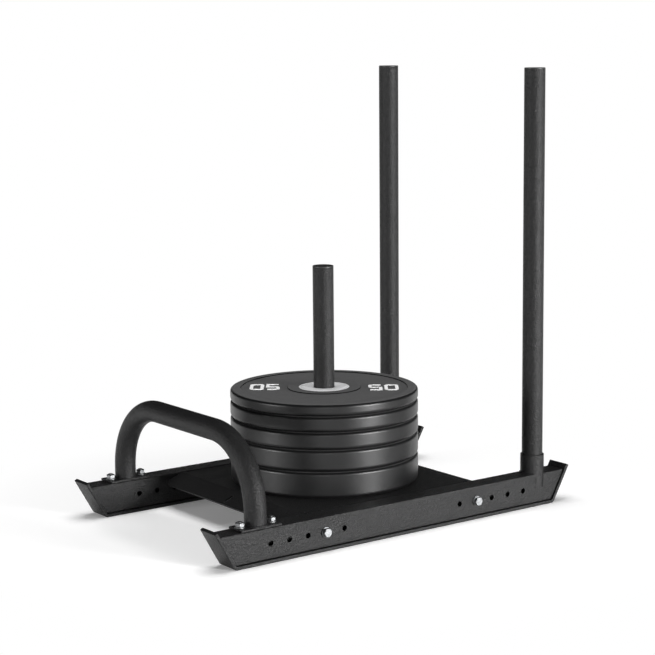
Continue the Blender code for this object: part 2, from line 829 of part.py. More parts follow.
make_runners()
make_push_poles()
make_handle()
make_pan()
make_pin()
make_plates()
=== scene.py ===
"""Dresses the packed weight sled: coats, welds, threads, bumper plates, and the studio round it."""

import functools
from math import asin, ceil, cos, pi, radians, sin, tan

import bmesh
import bpy
from bpy.props import FloatProperty, FloatVectorProperty, IntProperty, PointerProperty
from mathutils import Matrix, Vector


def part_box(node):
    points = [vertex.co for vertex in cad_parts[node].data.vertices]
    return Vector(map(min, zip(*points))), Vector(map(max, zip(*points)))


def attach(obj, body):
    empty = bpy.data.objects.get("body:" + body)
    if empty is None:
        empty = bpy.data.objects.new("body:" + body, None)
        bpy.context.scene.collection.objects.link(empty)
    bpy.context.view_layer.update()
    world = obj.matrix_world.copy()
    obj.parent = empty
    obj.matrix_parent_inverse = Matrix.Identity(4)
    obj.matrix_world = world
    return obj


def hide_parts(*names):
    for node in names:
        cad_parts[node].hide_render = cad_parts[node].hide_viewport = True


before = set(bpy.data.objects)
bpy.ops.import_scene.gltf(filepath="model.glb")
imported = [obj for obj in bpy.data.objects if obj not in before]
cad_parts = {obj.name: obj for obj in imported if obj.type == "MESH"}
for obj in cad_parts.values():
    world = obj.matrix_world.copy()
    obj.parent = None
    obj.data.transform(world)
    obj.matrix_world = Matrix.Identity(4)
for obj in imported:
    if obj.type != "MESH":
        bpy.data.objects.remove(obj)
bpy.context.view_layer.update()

bl_info = {
    "name": "Weight sled",
    "version": (1, 0, 0),
    "blender": (4, 5, 0),
    "location": "3D View > Sidebar > Sled",
    "description": "Dresses the packed weight sled and sets the studio",
    "category": "Add Mesh",
}

SIDES = (("left", -1), ("right", 1))
ENDS = ("front", "rear")
PLATES = ("25", "20", "15", "10", "05")
FRAME_BODY = "sled_frame"
X, Y, Z = range(3)
ORIGIN = (0, 0, 0)
UP = (0, 0, 1)

# Facets
ROUND_STEPS = 64
PLATE_STEPS = 160
HOLE_STEPS = 32
WASHER_STEPS = 48
WELD_STEPS = 96
BEAD_STEPS = 12
EDGE_STEPS = 4
HEX_SIDES = 6
STEPS_PER_FLAT = 8
THREAD_STEPS = 24
THREAD_ROWS_PER_TURN = 6
FACET = radians(15)
BEND_FACET = radians(7.5)
HANDLE_FACET = radians(3.75)

# Which edges stay sharp, and which get a small round
SMOOTH_ANGLE = radians(32)
HEX_SHARP = radians(20)
BEVEL_ANGLE = radians(40)
DIGIT_BEVEL_ANGLE = radians(60)

# How near points count as one, and how far the points beside an arc stand off
SAME_POINT = 1e-6
SUPPORT = 0.0005
HANDLE_SUPPORT = 0.01

# How far a cutter reaches past what it cuts, and how near a round comes to a full half circle
CUT_MARGIN = 0.010
FULL_ROUND = 0.999

# Sizes that no setting needs to change
PIN_WALL = 0.004
PIN_PLUG = 0.025
PIN_THREAD = 0.0083
PIN_BOLT_HOLE = 0.0085
PIN_BOLT_RADIUS = 0.008
STUD_RADIUS = 0.006
STUD_HEAD = 0.004
STUD_EDGE = 0.0006
NUT_PLAY = 0.0003
HEAD_SHARE = 0.63
PLATE_PLAY = 0.0005
HUB_EDGE = 0.0003
DIGIT_EDGE = 0.0003
DIGIT_RISE = 0.0075
SUNK = 0.0005

# Where the hubs' groove lies and how wide it is, in its own depths, and how sharp a stroke may bend
GROOVE_SETBACK = 6
GROOVE_WIDTH = 5
MITRE_LIMIT = 0.5

# The strokes of each digit: corners (across, up, 1 where it is round), and whether the stroke is closed
STROKES = {
    "0": (((0, 0, 1), (1, 0, 1), (1, 1, 1), (0, 1, 1)), True),
    "1": (((0.25, 1, 0), (0.62, 1, 0), (0.62, 0, 0)), False),
    "2": (((0, 1, 0), (1, 1, 1), (1, 0.5, 1), (0, 0.5, 1), (0, 0, 0), (1, 0, 0)), False),
    "5": (((1, 1, 0), (0, 1, 0), (0, 0.5, 0), (1, 0.5, 1), (1, 0, 1), (0, 0, 0)), False),
}

# Looks: most of a noise's values, the coat's uneven gloss, how often the weld's ripples wander, marks of
# the mould to the metre, and where a plate's lit face turns into its rim of painted shade by how level it is
NOISE_RANGE = (0.3, 0.7)
GLOSS_PLAY = 0.04
BEAD_WANDER = 60.0
MOULD_MARKS = 4200.0
SHADED_RIM_STARTS = (0.98, 0.85)

# Studio: floor, camera, how far up reflections see the backdrop, and the softboxes, each with its name,
# its power's setting, its place, what it faces, its width and height and whether reflections show it
FLOOR_HALF = 30
SENSOR_WIDTH = 36.0
BACKDROP_TOP = 0.04
SLED_MIDDLE = (0, 0, 0.5)
SOFTBOXES = (
    ("key_softbox", "key_power", (2.2, -6.0, 0.72), SLED_MIDDLE, (1.3, 1.4), True),
    ("top_softbox", "top_power", (0.0, 0.1, 3.2), ORIGIN, (2.4, 2.4), False),
    ("fill_softbox", "fill_power", (-6.4, 1.1, 0.72), SLED_MIDDLE, (1.3, 1.4), True),
    ("front_softbox", "front_power", (-4.0, -5.5, 0.72), SLED_MIDDLE, (1.3, 1.4), True),
)


def low(node):
    """The lowest corner of a CAD node's box."""
    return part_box(node)[0]


def high(node):
    """The highest corner of a CAD node's box."""
    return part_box(node)[1]


def middle(node):
    """The middle of a CAD node's box."""
    return (low(node) + high(node)) / 2


def span(node, axis):
    """How far a CAD node reaches along an axis."""
    return high(node)[axis] - low(node)[axis]


def half_width(node):
    return span(node, Y) / 2


def configured(thing, **settings):
    """The thing with its settings made."""
    for key, value in settings.items():
        setattr(thing, key, value)
    return thing


# The gap that the CAD leaves between two touching pieces
SEAM = low("left_handle_foot").z - high("left_runner").z


# Settings


def length(name, default, description):
    return FloatProperty(
        name=name, description=description, default=default, min=0.0, subtype="DISTANCE", precision=4
    )


def angle(name, default, description):
    return FloatProperty(name=name, description=description, default=radians(default), subtype="ANGLE")


def share(name, default, description):
    return FloatProperty(name=name, description=description, default=default, min=0.0)


def colour(name, default, description):
    return FloatVectorProperty(
        name=name, description=description, default=default, size=3, min=0.0, max=1.0, subtype="COLOR"
    )


class SledRunnerSizes(bpy.types.PropertyGroup):
    """Sizes of the runners, skids and sockets"""

    skid_angle: angle("Skid angle", 60.0, "How far the skid's ends turn up")
    skid_thickness: length("Skid thickness", 0.008, "Thickness of the flat bar")
    skid_bend: length("Skid bend", 0.004, "Inner radius of the bar's two bends")
    skid_edge: length("Skid edge", 0.0016, "Radius along the bar's edges")
    tube_wall: length("Tube wall", 0.003, "Wall of the box tube")
    tube_corner: length("Tube corner", 0.0028, "Outer corner radius of the box tube")
    tube_inner_corner: length("Tube inner corner", 0.0008, "Inner corner radius of the box tube")
    tube_end_chamfer: length("Tube end chamfer", 0.003, "Corner taken off the tube's ends to clear the bend")
    hole_pitch: length("Hole pitch", 0.050, "Distance between the holes of a row")
    holes_per_row: IntProperty(name="Holes per row", description="Holes in each row", default=5, min=1)
    hole_setback: length("Hole setback", 0.096, "Outermost hole, in from the end of the skid's flat stretch")
    hole_radius: length("Hole radius", 0.0065, "Radius of the bolt holes")
    socket_floor: length("Socket floor", 0.005, "Thickness of the socket's floor")
    socket_edge: length("Socket edge", 0.0008, "Radius on the socket's rim")
    cut_edge: length("Cut edge", 0.0004, "Small round on sawn and drilled edges")


class SledTubeSizes(bpy.types.PropertyGroup):
    """Sizes of the poles, the low handle, the pin and their caps"""

    tube_wall: length("Tube wall", 0.003, "Wall of the poles")
    tube_edge: length("Tube edge", 0.0006, "Radius on the tubes' ends")
    cap_edge: length("Cap edge", 0.0014, "Radius on the caps' heads")
    cap_wall: length("Cap wall", 0.002, "Wall of the caps' skirts")
    handle_bend: length("Handle bend", 0.156, "Bend radius of the low handle at the tube's axis")
    foot_edge: length("Foot edge", 0.0008, "Radius on the edges of the handle's feet")
    bead_radius: length("Weld bead", 0.0024, "Radius of the weld beads")
    bead_pitch: length("Weld pitch", 0.0034, "Distance between the ripples of a bead")
    bead_ripple: length("Weld ripple", 0.00022, "Height of the ripples of a bead")


class SledPanSizes(bpy.types.PropertyGroup):
    """Sizes of the folded pan"""

    thickness: length("Thickness", 0.004, "Sheet thickness")
    flange_bend: length("Flange bend", 0.006, "Outer radius of the side folds")
    lip_length: length("Lip length", 0.056, "Front and rear lips, measured from the fold")
    lip_angle: angle("Lip angle", 20.0, "How far the lips slope down")
    lip_clip: length("Lip clip", 0.016, "Corners taken off the lips")
    lip_bend: length("Lip bend", 0.012, "Outer radius of the lips' folds")
    end_margin: length("End margin", 0.0265, "From the pan's bolts to its folds")
    tab_length: length("Tab length", 0.008, "Stretch beside the relief notches")
    relief_width: length("Relief width", 0.005, "Width of the relief notches")
    relief_depth: length("Relief depth", 0.002, "Depth of the relief notches")
    slot_length: length("Slot length", 0.034, "Length of the tow slot")
    slot_width: length("Slot width", 0.008, "Width of the tow slot")
    slot_edge: length("Slot edge", 0.004, "From the tow slot to the lip's edge")
    sheet_edge: length("Sheet edge", 0.0005, "Small round on the sheet's cut edges")


class SledPlateSizes(bpy.types.PropertyGroup):
    """Sizes of the bumper plates"""

    top_round: length("Top round", 0.0070, "Radius of the upper outer edge")
    bottom_round: length("Bottom round", 0.0095, "Radius of the lower outer edge")
    rim_width: length("Rim width", 0.025, "Width of the raised rim")
    boss_radius: length("Boss radius", 0.087, "Radius of the raised boss")
    recess: length("Recess", 0.0022, "How far the face lies below rim and boss")
    flank: length("Flank", 0.0014, "Width of the slopes from rim and boss to the face")
    soft_edge: length("Soft edge", 0.0006, "Small round on moulded edges")
    hub_chamfer: length("Hub chamfer", 0.0015, "Chamfer at the hub's bore")
    hub_groove: length("Hub groove", 0.0006, "Depth of the turned groove in the hub")
    digit_height: length("Digit height", 0.066, "Height of the numbers")
    digit_width: length("Digit width", 0.0335, "Width of one digit")
    digit_stroke: length("Digit stroke", 0.0078, "Stroke width of the digits")
    digit_gap: length("Digit gap", 0.0050, "Gap between two digits")
    digit_round: length("Digit round", 0.0065, "Bend radius of the strokes")
    digit_relief: length("Digit relief", 0.0012, "How far the digits stand up")
    digit_place: length("Digit place", 0.142, "From the pin's axis to the middle of a number")
    digit_turn: angle("Digit turn", -36.83, "Which way the numbers face")


class SledFastenerSizes(bpy.types.PropertyGroup):
    """Sizes of bolts, nuts and washers"""

    hex_chamfer: angle("Hex chamfer", 30.0, "Slope of the chamfer on nuts and heads")
    chamfer_start: share("Chamfer start", 0.94, "Where the chamfer starts, as a share of the half width")
    thread_pitch: length("Thread pitch", 0.00175, "Pitch of the threads")
    thread_depth: length("Thread depth", 0.0008, "Depth of the threads")
    washer_edge: length("Washer edge", 0.0006, "Radius on the washers' edges")


class SledFinishes(bpy.types.PropertyGroup):
    """Colours and gloss"""

    coat: colour("Powder coat", (0.0100, 0.0100, 0.0102), "Textured powder coat of the frame")
    coat_roughness: share("Coat roughness", 0.41, "Roughness of the powder coat")
    pan: colour("Pan coat", (0.0090, 0.0090, 0.0092), "Powder coat of the pan")
    pan_roughness: share("Pan roughness", 0.50, "Roughness of the pan's coat")
    plastic: colour("Cap plastic", (0.014, 0.014, 0.014), "Plug caps")
    # Both rubber colours are one rubber. The faces are painted lighter, as if lit from above, and the rims
    # and rounds much darker, as painted shade.
    rubber: colour("Rubber", (0.078, 0.078, 0.0785), "Faces of the bumper plates")
    rubber_side_shade: colour("Rubber rim", (0.004, 0.004, 0.0042), "Rims of the bumper plates")
    steel: colour("Hub steel", (0.90, 0.90, 0.91), "Turned hubs")
    number: colour("Number paint", (0.88, 0.88, 0.88), "Raised numbers")
    zinc: colour("Zinc", (0.235, 0.24, 0.245), "Plated bolts, nuts and washers")


class SledStageSettings(bpy.types.PropertyGroup):
    """Camera, lamps and floor"""

    camera_place: FloatVectorProperty(
        name="Camera", description="Where the camera stands", default=(-2.543, -3.458, 1.1316), subtype="XYZ"
    )
    camera_turn: angle("Camera turn", -36.467, "Which way the camera looks")
    camera_tilt: angle("Camera tilt", -8.0, "How far the camera looks down")
    camera_roll: angle("Camera roll", -0.480, "How far the camera leans to one side")
    lens: share("Lens", 100.14, "Focal length on a 36 mm sensor")
    camera_shift: FloatProperty(name="Shift", description="Vertical shift of the lens", default=-0.0552)
    key_power: share("Key power", 720.0, "Softbox on the camera's right, in watts")
    top_power: share("Top power", 90.0, "Softbox overhead, in watts")
    fill_power: share("Fill power", 240.0, "Softbox on the camera's left, in watts")
    front_power: share("Front power", 70.0, "Softbox beside the camera, in watts")
    ambient: share("Ambient", 0.025, "Studio grey all round")
    floor: colour("Floor", (0.96, 0.96, 0.96), "Pale floor as the camera sees it")
    floor_bounce: colour("Floor bounce", (0.08, 0.08, 0.08), "Pale floor as it lights the sled")
    floor_lift: share("Floor lift", 0.13, "How much light the camera sees added to the floor")
    floor_near: length("Floor near", 0.52, "Where the floor starts to turn pure white")
    floor_far: length("Floor far", 0.95, "Where the floor is pure white")


SETTINGS = (
    ("sled_runner", SledRunnerSizes),
    ("sled_tube", SledTubeSizes),
    ("sled_pan", SledPanSizes),
    ("sled_plate", SledPlateSizes),
    ("sled_fastener", SledFastenerSizes),
    ("sled_finish", SledFinishes),
    ("sled_stage", SledStageSettings),
)


# Meshes


def filleted(corners, facet=FACET, support=SUPPORT):
    """Points of an outline whose corners (x, y, radius) are rounded, with a point beside each arc."""
    points = []
    for number, (x, y, radius) in enumerate(corners):
        corner = Vector((x, y))
        if not radius:
            points.append(corner)
            continue
        back = (Vector(corners[number - 1][:2]) - corner).normalized()
        ahead = (Vector(corners[(number + 1) % len(corners)][:2]) - corner).normalized()
        opening = back.angle(ahead)
        reach = radius / tan(opening / 2)
        centre = corner + (back + ahead).normalized() * radius / sin(opening / 2)
        arm = corner + back * reach - centre
        turn = pi - opening
        if arm.y * back.x - arm.x * back.y < 0:
            turn = -turn
        steps = max(2, ceil(abs(turn) / facet))
        arc = [centre + Matrix.Rotation(turn * step / steps, 2) @ arm for step in range(steps + 1)]
        if support:
            arc = [corner + back * (reach + support), *arc, corner + ahead * (reach + support)]
        points += arc
    return [(point.x, point.y) for point in points]


def rectangle(across, up, radius, **rounding):
    """Points of a rectangle with rounded corners, from half its sides."""
    signs = ((1, 1), (-1, 1), (-1, -1), (1, -1))
    return filleted([(a * across, b * up, radius) for a, b in signs], **rounding)


def smooth(mesh, sharp=SMOOTH_ANGLE):
    """The mesh shaded smooth, with its sharp edges kept."""
    mesh.shade_smooth()
    mesh.set_sharp_from_angle(angle=sharp)
    return mesh


def mesh_from(bm, sharp=SMOOTH_ANGLE):
    """A clean mesh with outward faces."""
    bmesh.ops.remove_doubles(bm, verts=bm.verts, dist=SAME_POINT)
    bmesh.ops.recalc_face_normals(bm, faces=bm.faces)
    mesh = bpy.data.meshes.new("shape")
    bm.to_mesh(mesh)
    bm.free()
    return smooth(mesh, sharp)


def linked(name, data):
    """A new object in the scene."""
    obj = bpy.data.objects.new(name, data)
    bpy.context.scene.collection.objects.link(obj)
    return obj


def evaluated(obj):
    """The evaluated mesh of a helper, which is removed."""
    bpy.context.view_layer.update()
    graph = bpy.context.evaluated_depsgraph_get()
    mesh = bpy.data.meshes.new_from_object(
        obj.evaluated_get(graph), preserve_all_data_layers=True, depsgraph=graph
    )
    bpy.data.objects.remove(obj, do_unlink=True)
    return mesh


def bridge(bm, row, follower):
    """Faces between two rings of points. A tip is one point over and over."""
    count = len(row)
    for step in range(count):
        ahead = (step + 1) % count
        corners = dict.fromkeys((row[step], row[ahead], follower[ahead], follower[step]))
        if len(corners) > 2:
            bm.faces.new(list(corners))


def swept(rows, ring=False, sharp=SMOOTH_ANGLE):
    """A closed mesh over rows of points. The last row joins the first one, or both ends get a flat cap.
    A row of one point is a tip, and needs no cap."""
    bm = bmesh.new()
    count = max(len(row) for row in rows)
    made = [[bm.verts.new(point) for point in row] * (count // len(row)) for row in rows]
    for row, follower in zip(made, made[1:] + made[:1] if ring else made[1:]):
        bridge(bm, row, follower)
    for row in () if ring else (made[0], made[-1]):
        if len(set(row)) > 2:
            bm.faces.new(row)
    return mesh_from(bm, sharp)


def round_row(points):
    """Points (radius, height) set out evenly round the axis."""
    turns = [2 * pi * step / len(points) for step in range(len(points))]
    return [(reach * cos(turn), reach * sin(turn), z) for turn, (reach, z) in zip(turns, points)]


def lathe(profile, centre=ORIGIN, steps=ROUND_STEPS):
    """A turned mesh about a vertical axis, from (radius, height) points. From the axis to the axis it is
    solid, else a ring."""
    rows = [round_row([point] * (steps if point[0] > SAME_POINT else 1)) for point in profile]
    mesh = swept(rows, ring=len(rows[0]) > 1)
    mesh.transform(Matrix.Translation(centre))
    return mesh


def cylinder(centre, radius, depth, axis=UP, steps=ROUND_STEPS):
    """A plain cylinder that cuts a hole."""
    turn = Vector(UP).rotation_difference(Vector(axis)).to_matrix().to_4x4()
    place = Matrix.Translation(centre) @ turn
    bm = bmesh.new()
    bmesh.ops.create_cone(
        bm, cap_ends=True, segments=steps, radius1=radius, radius2=radius, depth=depth, matrix=place
    )
    return mesh_from(bm)


def block(bottom, top):
    """A box between two corners."""
    bm = bmesh.new()
    place = Matrix.Translation((bottom + top) / 2) @ Matrix.Diagonal((*(top - bottom), 1))
    bmesh.ops.create_cube(bm, size=1, matrix=place)
    return mesh_from(bm)


def merged(meshes):
    """Separate meshes as one."""
    bm = bmesh.new()
    for mesh in meshes:
        bm.from_mesh(mesh)
        bpy.data.meshes.remove(mesh)
    mesh = bpy.data.meshes.new("shape")
    bm.to_mesh(mesh)
    bm.free()
    return mesh


def cut(mesh, cutters, edge, limit=BEVEL_ANGLE):
    """The mesh with the cutters taken out of it, and then a small round on its sharp edges."""
    body = linked("helper", mesh)
    tool = linked("helper", merged(cutters)) if cutters else None
    if tool:
        configured(body.modifiers.new("Cut", "BOOLEAN"), operation="DIFFERENCE", object=tool)
    bevel = configured(body.modifiers.new("Edge", "BEVEL"), width=edge, segments=2, harden_normals=True)
    configured(bevel, limit_method="ANGLE", angle_limit=limit)
    result = evaluated(body)
    if tool:
        bpy.data.objects.remove(tool, do_unlink=True)
    return result


def piece(name, mesh, slot, nodes=(), body=FRAME_BODY, look=None):
    """A finished piece at the origin, riding on its body in place of its CAD nodes."""
    mesh.materials.clear()
    mesh.materials.append(material_for(look or slot))
    obj = linked(name, mesh)
    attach(obj, body)
    if nodes:
        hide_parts(*nodes)


def path_mesh(points, closed=False):
    """A mesh of edges only, along a path."""
    edges = [(number, number + 1) for number in range(len(points) - 1)]
    if closed:
        edges.append((len(points) - 1, 0))
    mesh = bpy.data.meshes.new("path")
    mesh.from_pydata(points, edges, [])
    return mesh


def arc_points(centre, radius, start=0.0, sweep=2 * pi, steps=WELD_STEPS):
    """Points along a level arc, both ends included."""
    x, y, z = centre
    turns = [start + sweep * step / steps for step in range(steps + 1)]
    return [(x + radius * cos(turn), y + radius * sin(turn), z) for turn in turns]


# Node trees


def node(tree, kind, inputs=None, **settings):
    """A node with its settings made and its inputs set or linked."""
    made = configured(tree.nodes.new(kind), **settings)
    for key, value in (inputs or {}).items():
        socket = made.inputs[key]
        if isinstance(value, bpy.types.NodeSocket):
            tree.links.new(value, socket)
        else:
            socket.default_value = value
    return made


def maths(tree, operation, *values):
    """The result of a Math node."""
    return node(tree, "ShaderNodeMath", dict(enumerate(values)), operation=operation).outputs[0]


def scaled(tree, vector, factor):
    """A vector or a colour times a factor."""
    return node(tree, "ShaderNodeVectorMath", {0: vector, "Scale": factor}, operation="SCALE").outputs[0]


def measured(tree, vector):
    """The length of a vector."""
    return node(tree, "ShaderNodeVectorMath", {0: vector}, operation="LENGTH").outputs["Value"]


def component(tree, vector, axis):
    return node(tree, "ShaderNodeSeparateXYZ", {"Vector": vector}).outputs[axis]


def geometry_tree(name, **inputs):
    """A new Geometry Nodes tree with named inputs and their defaults. Gives the tree and its inputs."""
    kinds = {float: "NodeSocketFloat", int: "NodeSocketInt", tuple: "NodeSocketVector"}
    tree = bpy.data.node_groups.new(name, "GeometryNodeTree")
    tree.interface.new_socket("Geometry", in_out="INPUT", socket_type="NodeSocketGeometry")
    for label, default in inputs.items():
        socket = tree.interface.new_socket(label, in_out="INPUT", socket_type=kinds[type(default)])
        socket.default_value = default
    tree.interface.new_socket("Geometry", in_out="OUTPUT", socket_type="NodeSocketGeometry")
    return tree, tree.nodes.new("NodeGroupInput").outputs


def close_tree(tree, geometry, material=None):
    """Ends a tree in Realize Instances and Set Material."""
    real = node(tree, "GeometryNodeRealizeInstances", {"Geometry": geometry})
    dressed = node(tree, "GeometryNodeSetMaterial", {"Geometry": real.outputs[0], "Material": material})
    node(tree, "NodeGroupOutput", {"Geometry": dressed.outputs[0]})
    return tree


def smoothed(tree, geometry):
    return node(tree, "GeometryNodeSetShadeSmooth", {"Geometry": geometry}).outputs[0]


def grown(mesh, tree, values):
    """The mesh that a tree makes of a helper mesh, with its inputs set by name."""
    obj = linked("helper", mesh)
    modifier = obj.modifiers.new(tree.name, "NODES")
    modifier.node_group = tree
    for item in tree.interface.items_tree:
        if item.in_out == "INPUT" and item.name in values:
            modifier[item.identifier] = values[item.name]
    return evaluated(obj)


def string_along(tree, curve, radius, steps):
    """A round string along a curve."""
    circle = node(
        tree, "GeometryNodeCurvePrimitiveCircle", {"Resolution": steps, "Radius": radius}, mode="RADIUS"
    )
    inputs = {"Curve": curve, "Profile Curve": circle.outputs[0], "Fill Caps": True}
    return node(tree, "GeometryNodeCurveToMesh", inputs).outputs[0]


def copies_on(tree, points, instance, turn):
    """One copy of an instance on each point, turned about X."""
    rotation = node(tree, "ShaderNodeCombineXYZ", {"X": turn}).outputs[0]
    inputs = {"Points": points, "Instance": instance, "Rotation": rotation}
    return node(tree, "GeometryNodeInstanceOnPoints", inputs).outputs[0]


def bead_tree(material):
    """A weld bead along the edges of a mesh: a round string with ripples across it."""
    tree, entry = geometry_tree("weld_bead", Radius=0.002, Pitch=0.003, Ripple=0.0002, Spacing=0.0007)
    path = node(tree, "GeometryNodeMeshToCurve", {"Mesh": entry["Geometry"]}).outputs[0]
    inputs = {"Curve": path, "Length": entry["Spacing"]}
    even = node(tree, "GeometryNodeResampleCurve", inputs, mode="LENGTH")
    along = node(tree, "GeometryNodeSplineParameter")
    kept = tree.nodes.new("GeometryNodeCaptureAttribute")
    kept.capture_items.new("FLOAT", "Along")
    tree.links.new(even.outputs[0], kept.inputs["Geometry"])
    tree.links.new(along.outputs["Length"], kept.inputs["Along"])
    string = string_along(tree, kept.outputs["Geometry"], entry["Radius"], BEAD_STEPS)
    wander = node(tree, "ShaderNodeTexNoise", {"Scale": BEAD_WANDER, "Detail": 1.0}).outputs[0]
    turns = maths(tree, "ADD", maths(tree, "DIVIDE", kept.outputs["Along"], entry["Pitch"]), wander)
    wave = maths(tree, "SINE", maths(tree, "MULTIPLY", turns, 2 * pi))
    outward = node(tree, "GeometryNodeInputNormal").outputs[0]
    offset = scaled(tree, outward, maths(tree, "MULTIPLY", wave, entry["Ripple"]))
    rippled = node(tree, "GeometryNodeSetPosition", {"Geometry": string, "Offset": offset})
    return close_tree(tree, smoothed(tree, rippled.outputs[0]), material)


def weld(sizes, path):
    """A weld bead along a path."""
    values = {"Radius": sizes.bead_radius, "Pitch": sizes.bead_pitch, "Ripple": sizes.bead_ripple}
    return grown(path, bead_tree(material_for("powder_coat")), values)


def tube_tree(material):
    """A round tube along the edges of a mesh."""
    tree, entry = geometry_tree("bent_tube", Radius=0.025, Steps=ROUND_STEPS)
    path = node(tree, "GeometryNodeMeshToCurve", {"Mesh": entry["Geometry"]}).outputs[0]
    tube = string_along(tree, path, entry["Radius"], entry["Steps"])
    return close_tree(tree, smoothed(tree, tube), material)


def hole_row_tree():
    """A straight row of cylinders that cut a row of holes."""
    tree, entry = geometry_tree(
        "hole_row", Count=5, Start=ORIGIN, Step=(0.05, 0, 0), Radius=0.006, Reach=0.07, Steps=HOLE_STEPS
    )
    inputs = {"Count": entry["Count"], "Start Location": entry["Start"], "Offset": entry["Step"]}
    row = node(tree, "GeometryNodeMeshLine", inputs, mode="OFFSET").outputs[0]
    inputs = {"Vertices": entry["Steps"], "Radius": entry["Radius"], "Depth": entry["Reach"]}
    rod = node(tree, "GeometryNodeMeshCylinder", inputs).outputs[0]
    return close_tree(tree, copies_on(tree, row, rod, pi / 2))


def scatter_tree(name, part, material):
    """One copy of a part's mesh on each point, turned by the point's own turn about X."""
    tree, entry = geometry_tree(name)
    info = node(tree, "GeometryNodeObjectInfo", {"Object": part}, transform_space="ORIGINAL")
    facing = node(tree, "GeometryNodeInputNamedAttribute", {"Name": "facing"}, data_type="FLOAT")
    made = copies_on(tree, entry["Geometry"], info.outputs["Geometry"], facing.outputs["Attribute"])
    return close_tree(tree, made, material)


def scattered(name, part_mesh, places, material):
    """Copies of one mesh at (point, turn about X) places, as one mesh."""
    points = bpy.data.meshes.new("places")
    points.from_pydata([point for point, _ in places], [], [])
    facing = points.attributes.new("facing", "FLOAT", "POINT")
    facing.data.foreach_set("value", [turn for _, turn in places])
    part = linked("helper", part_mesh)
    mesh = grown(points, scatter_tree(name, part, material), {})
    bpy.data.objects.remove(part, do_unlink=True)
    return mesh


# Materials


def new_material(name):
    """A material with its tree and its shader."""
    material = bpy.data.materials.new(name)
    material.use_nodes = True
    tree = material.node_tree
    return material, tree, tree.nodes["Principled BSDF"]


def object_place(tree):
    return node(tree, "ShaderNodeTexCoord").outputs["Object"]


def axis_distance(tree, place):
    """How far a point is from the pin's axis."""
    level = {"X": component(tree, place, X), "Y": component(tree, place, Y)}
    return measured(tree, node(tree, "ShaderNodeCombineXYZ", level).outputs[0])


def noise(tree, place, scale, detail=2.0, roughness=0.5):
    inputs = {"Vector": place, "Scale": scale, "Detail": detail, "Roughness": roughness}
    return node(tree, "ShaderNodeTexNoise", inputs).outputs["Fac"]


def ranged(tree, value, start, end, first, last, **settings):
    """A value taken from one range to another."""
    inputs = {"Value": value, "From Min": start, "From Max": end, "To Min": first, "To Max": last}
    return node(tree, "ShaderNodeMapRange", inputs, **settings).outputs[0]


def spread(tree, value, lowest, highest):
    """A noise value stretched to a range."""
    return ranged(tree, value, *NOISE_RANGE, lowest, highest)


def mixed_colour(tree, factor, one, two):
    """Two colours mixed. Only their numbers tell the Mix node's colour sockets from its others."""
    return node(tree, "ShaderNodeMix", {"Factor": factor, 6: one, 7: two}, data_type="RGBA").outputs[2]


def dress(tree, shader, base, roughness, layers, **values):
    """Links a shader's colour, roughness and bump layers (height, distance, strength), one on the other,
    and sets the values that stay the same all over."""
    tree.links.new(base, shader.inputs["Base Color"])
    tree.links.new(roughness, shader.inputs["Roughness"])
    normal = {}
    for height, distance, strength in layers:
        inputs = {"Height": height, "Distance": distance, "Strength": strength, **normal}
        normal = {"Normal": node(tree, "ShaderNodeBump", inputs).outputs[0]}
    tree.links.new(normal["Normal"], shader.inputs["Normal"])
    for name, value in values.items():
        shader.inputs[name.replace("_", " ")].default_value = value


def mottled_material(name, base, scale, detail, tone, gloss, bump, metallic=0.0):
    """One noise that varies tone, gloss and height."""
    material, tree, shader = new_material(name)
    mottle = noise(tree, object_place(tree), scale, detail)
    tinted = scaled(tree, tuple(base), spread(tree, mottle, *tone))
    dress(tree, shader, tinted, spread(tree, mottle, *gloss), ((mottle, *bump),), Metallic=metallic)
    return material


def coat_material(name, base, roughness, specular, grain):
    """Powder coat: an orange-peel skin with a fine grain, a little uneven in tone and gloss."""
    material, tree, shader = new_material(name)
    place = object_place(tree)
    fine = noise(tree, place, scale=620.0, detail=3.0, roughness=0.6)
    peel = noise(tree, place, scale=260.0)
    cloud = noise(tree, place, scale=22.0, detail=3.0)
    tinted = scaled(tree, tuple(base), spread(tree, fine, 1.0 - grain, 1.0 + grain))
    gloss = spread(tree, cloud, roughness - GLOSS_PLAY, roughness + GLOSS_PLAY)
    layers = ((peel, 0.0026, 0.60), (fine, 0.0012, 0.70))
    dress(tree, shader, tinted, gloss, layers, Specular_IOR_Level=specular)
    return material


def rubber_material(name, face, rim):
    """Moulded rubber: speckled matte faces, a smoother rim and faint marks of the turned mould.
    Light and shade are painted in: level faces get the lighter colour, the sides and rounds a much darker
    one.
    """
    material, tree, shader = new_material(name)
    place = object_place(tree)
    speck = noise(tree, place, scale=1400.0)
    cloud = noise(tree, place, scale=30.0, detail=3.0)
    marks = maths(tree, "SINE", maths(tree, "MULTIPLY", axis_distance(tree, place), MOULD_MARKS))
    # Painted light and shade: the face colour where the surface lies level, the much darker rim colour on
    # the sides and rounds.
    normal = node(tree, "ShaderNodeNewGeometry").outputs["Normal"]
    level = maths(tree, "ABSOLUTE", component(tree, normal, Z))
    shaded_rim_mask = ranged(tree, level, *SHADED_RIM_STARTS, 0.0, 1.0)
    speckle = spread(tree, speck, 0.88, 1.12)
    lit_face_tone, painted_shade_rim_tone = (scaled(tree, tuple(base), speckle) for base in (face, rim))
    tone = mixed_colour(tree, shaded_rim_mask, lit_face_tone, painted_shade_rim_tone)
    face_gloss, rim_gloss = spread(tree, cloud, 0.60, 0.68), spread(tree, cloud, 0.34, 0.39)
    gloss = ranged(tree, shaded_rim_mask, 0.0, 1.0, face_gloss, rim_gloss)
    layers = ((marks, 0.0001, 0.04), (speck, 0.0004, 0.30))
    dress(tree, shader, tone, gloss, layers, Specular_IOR_Level=0.36)
    return material


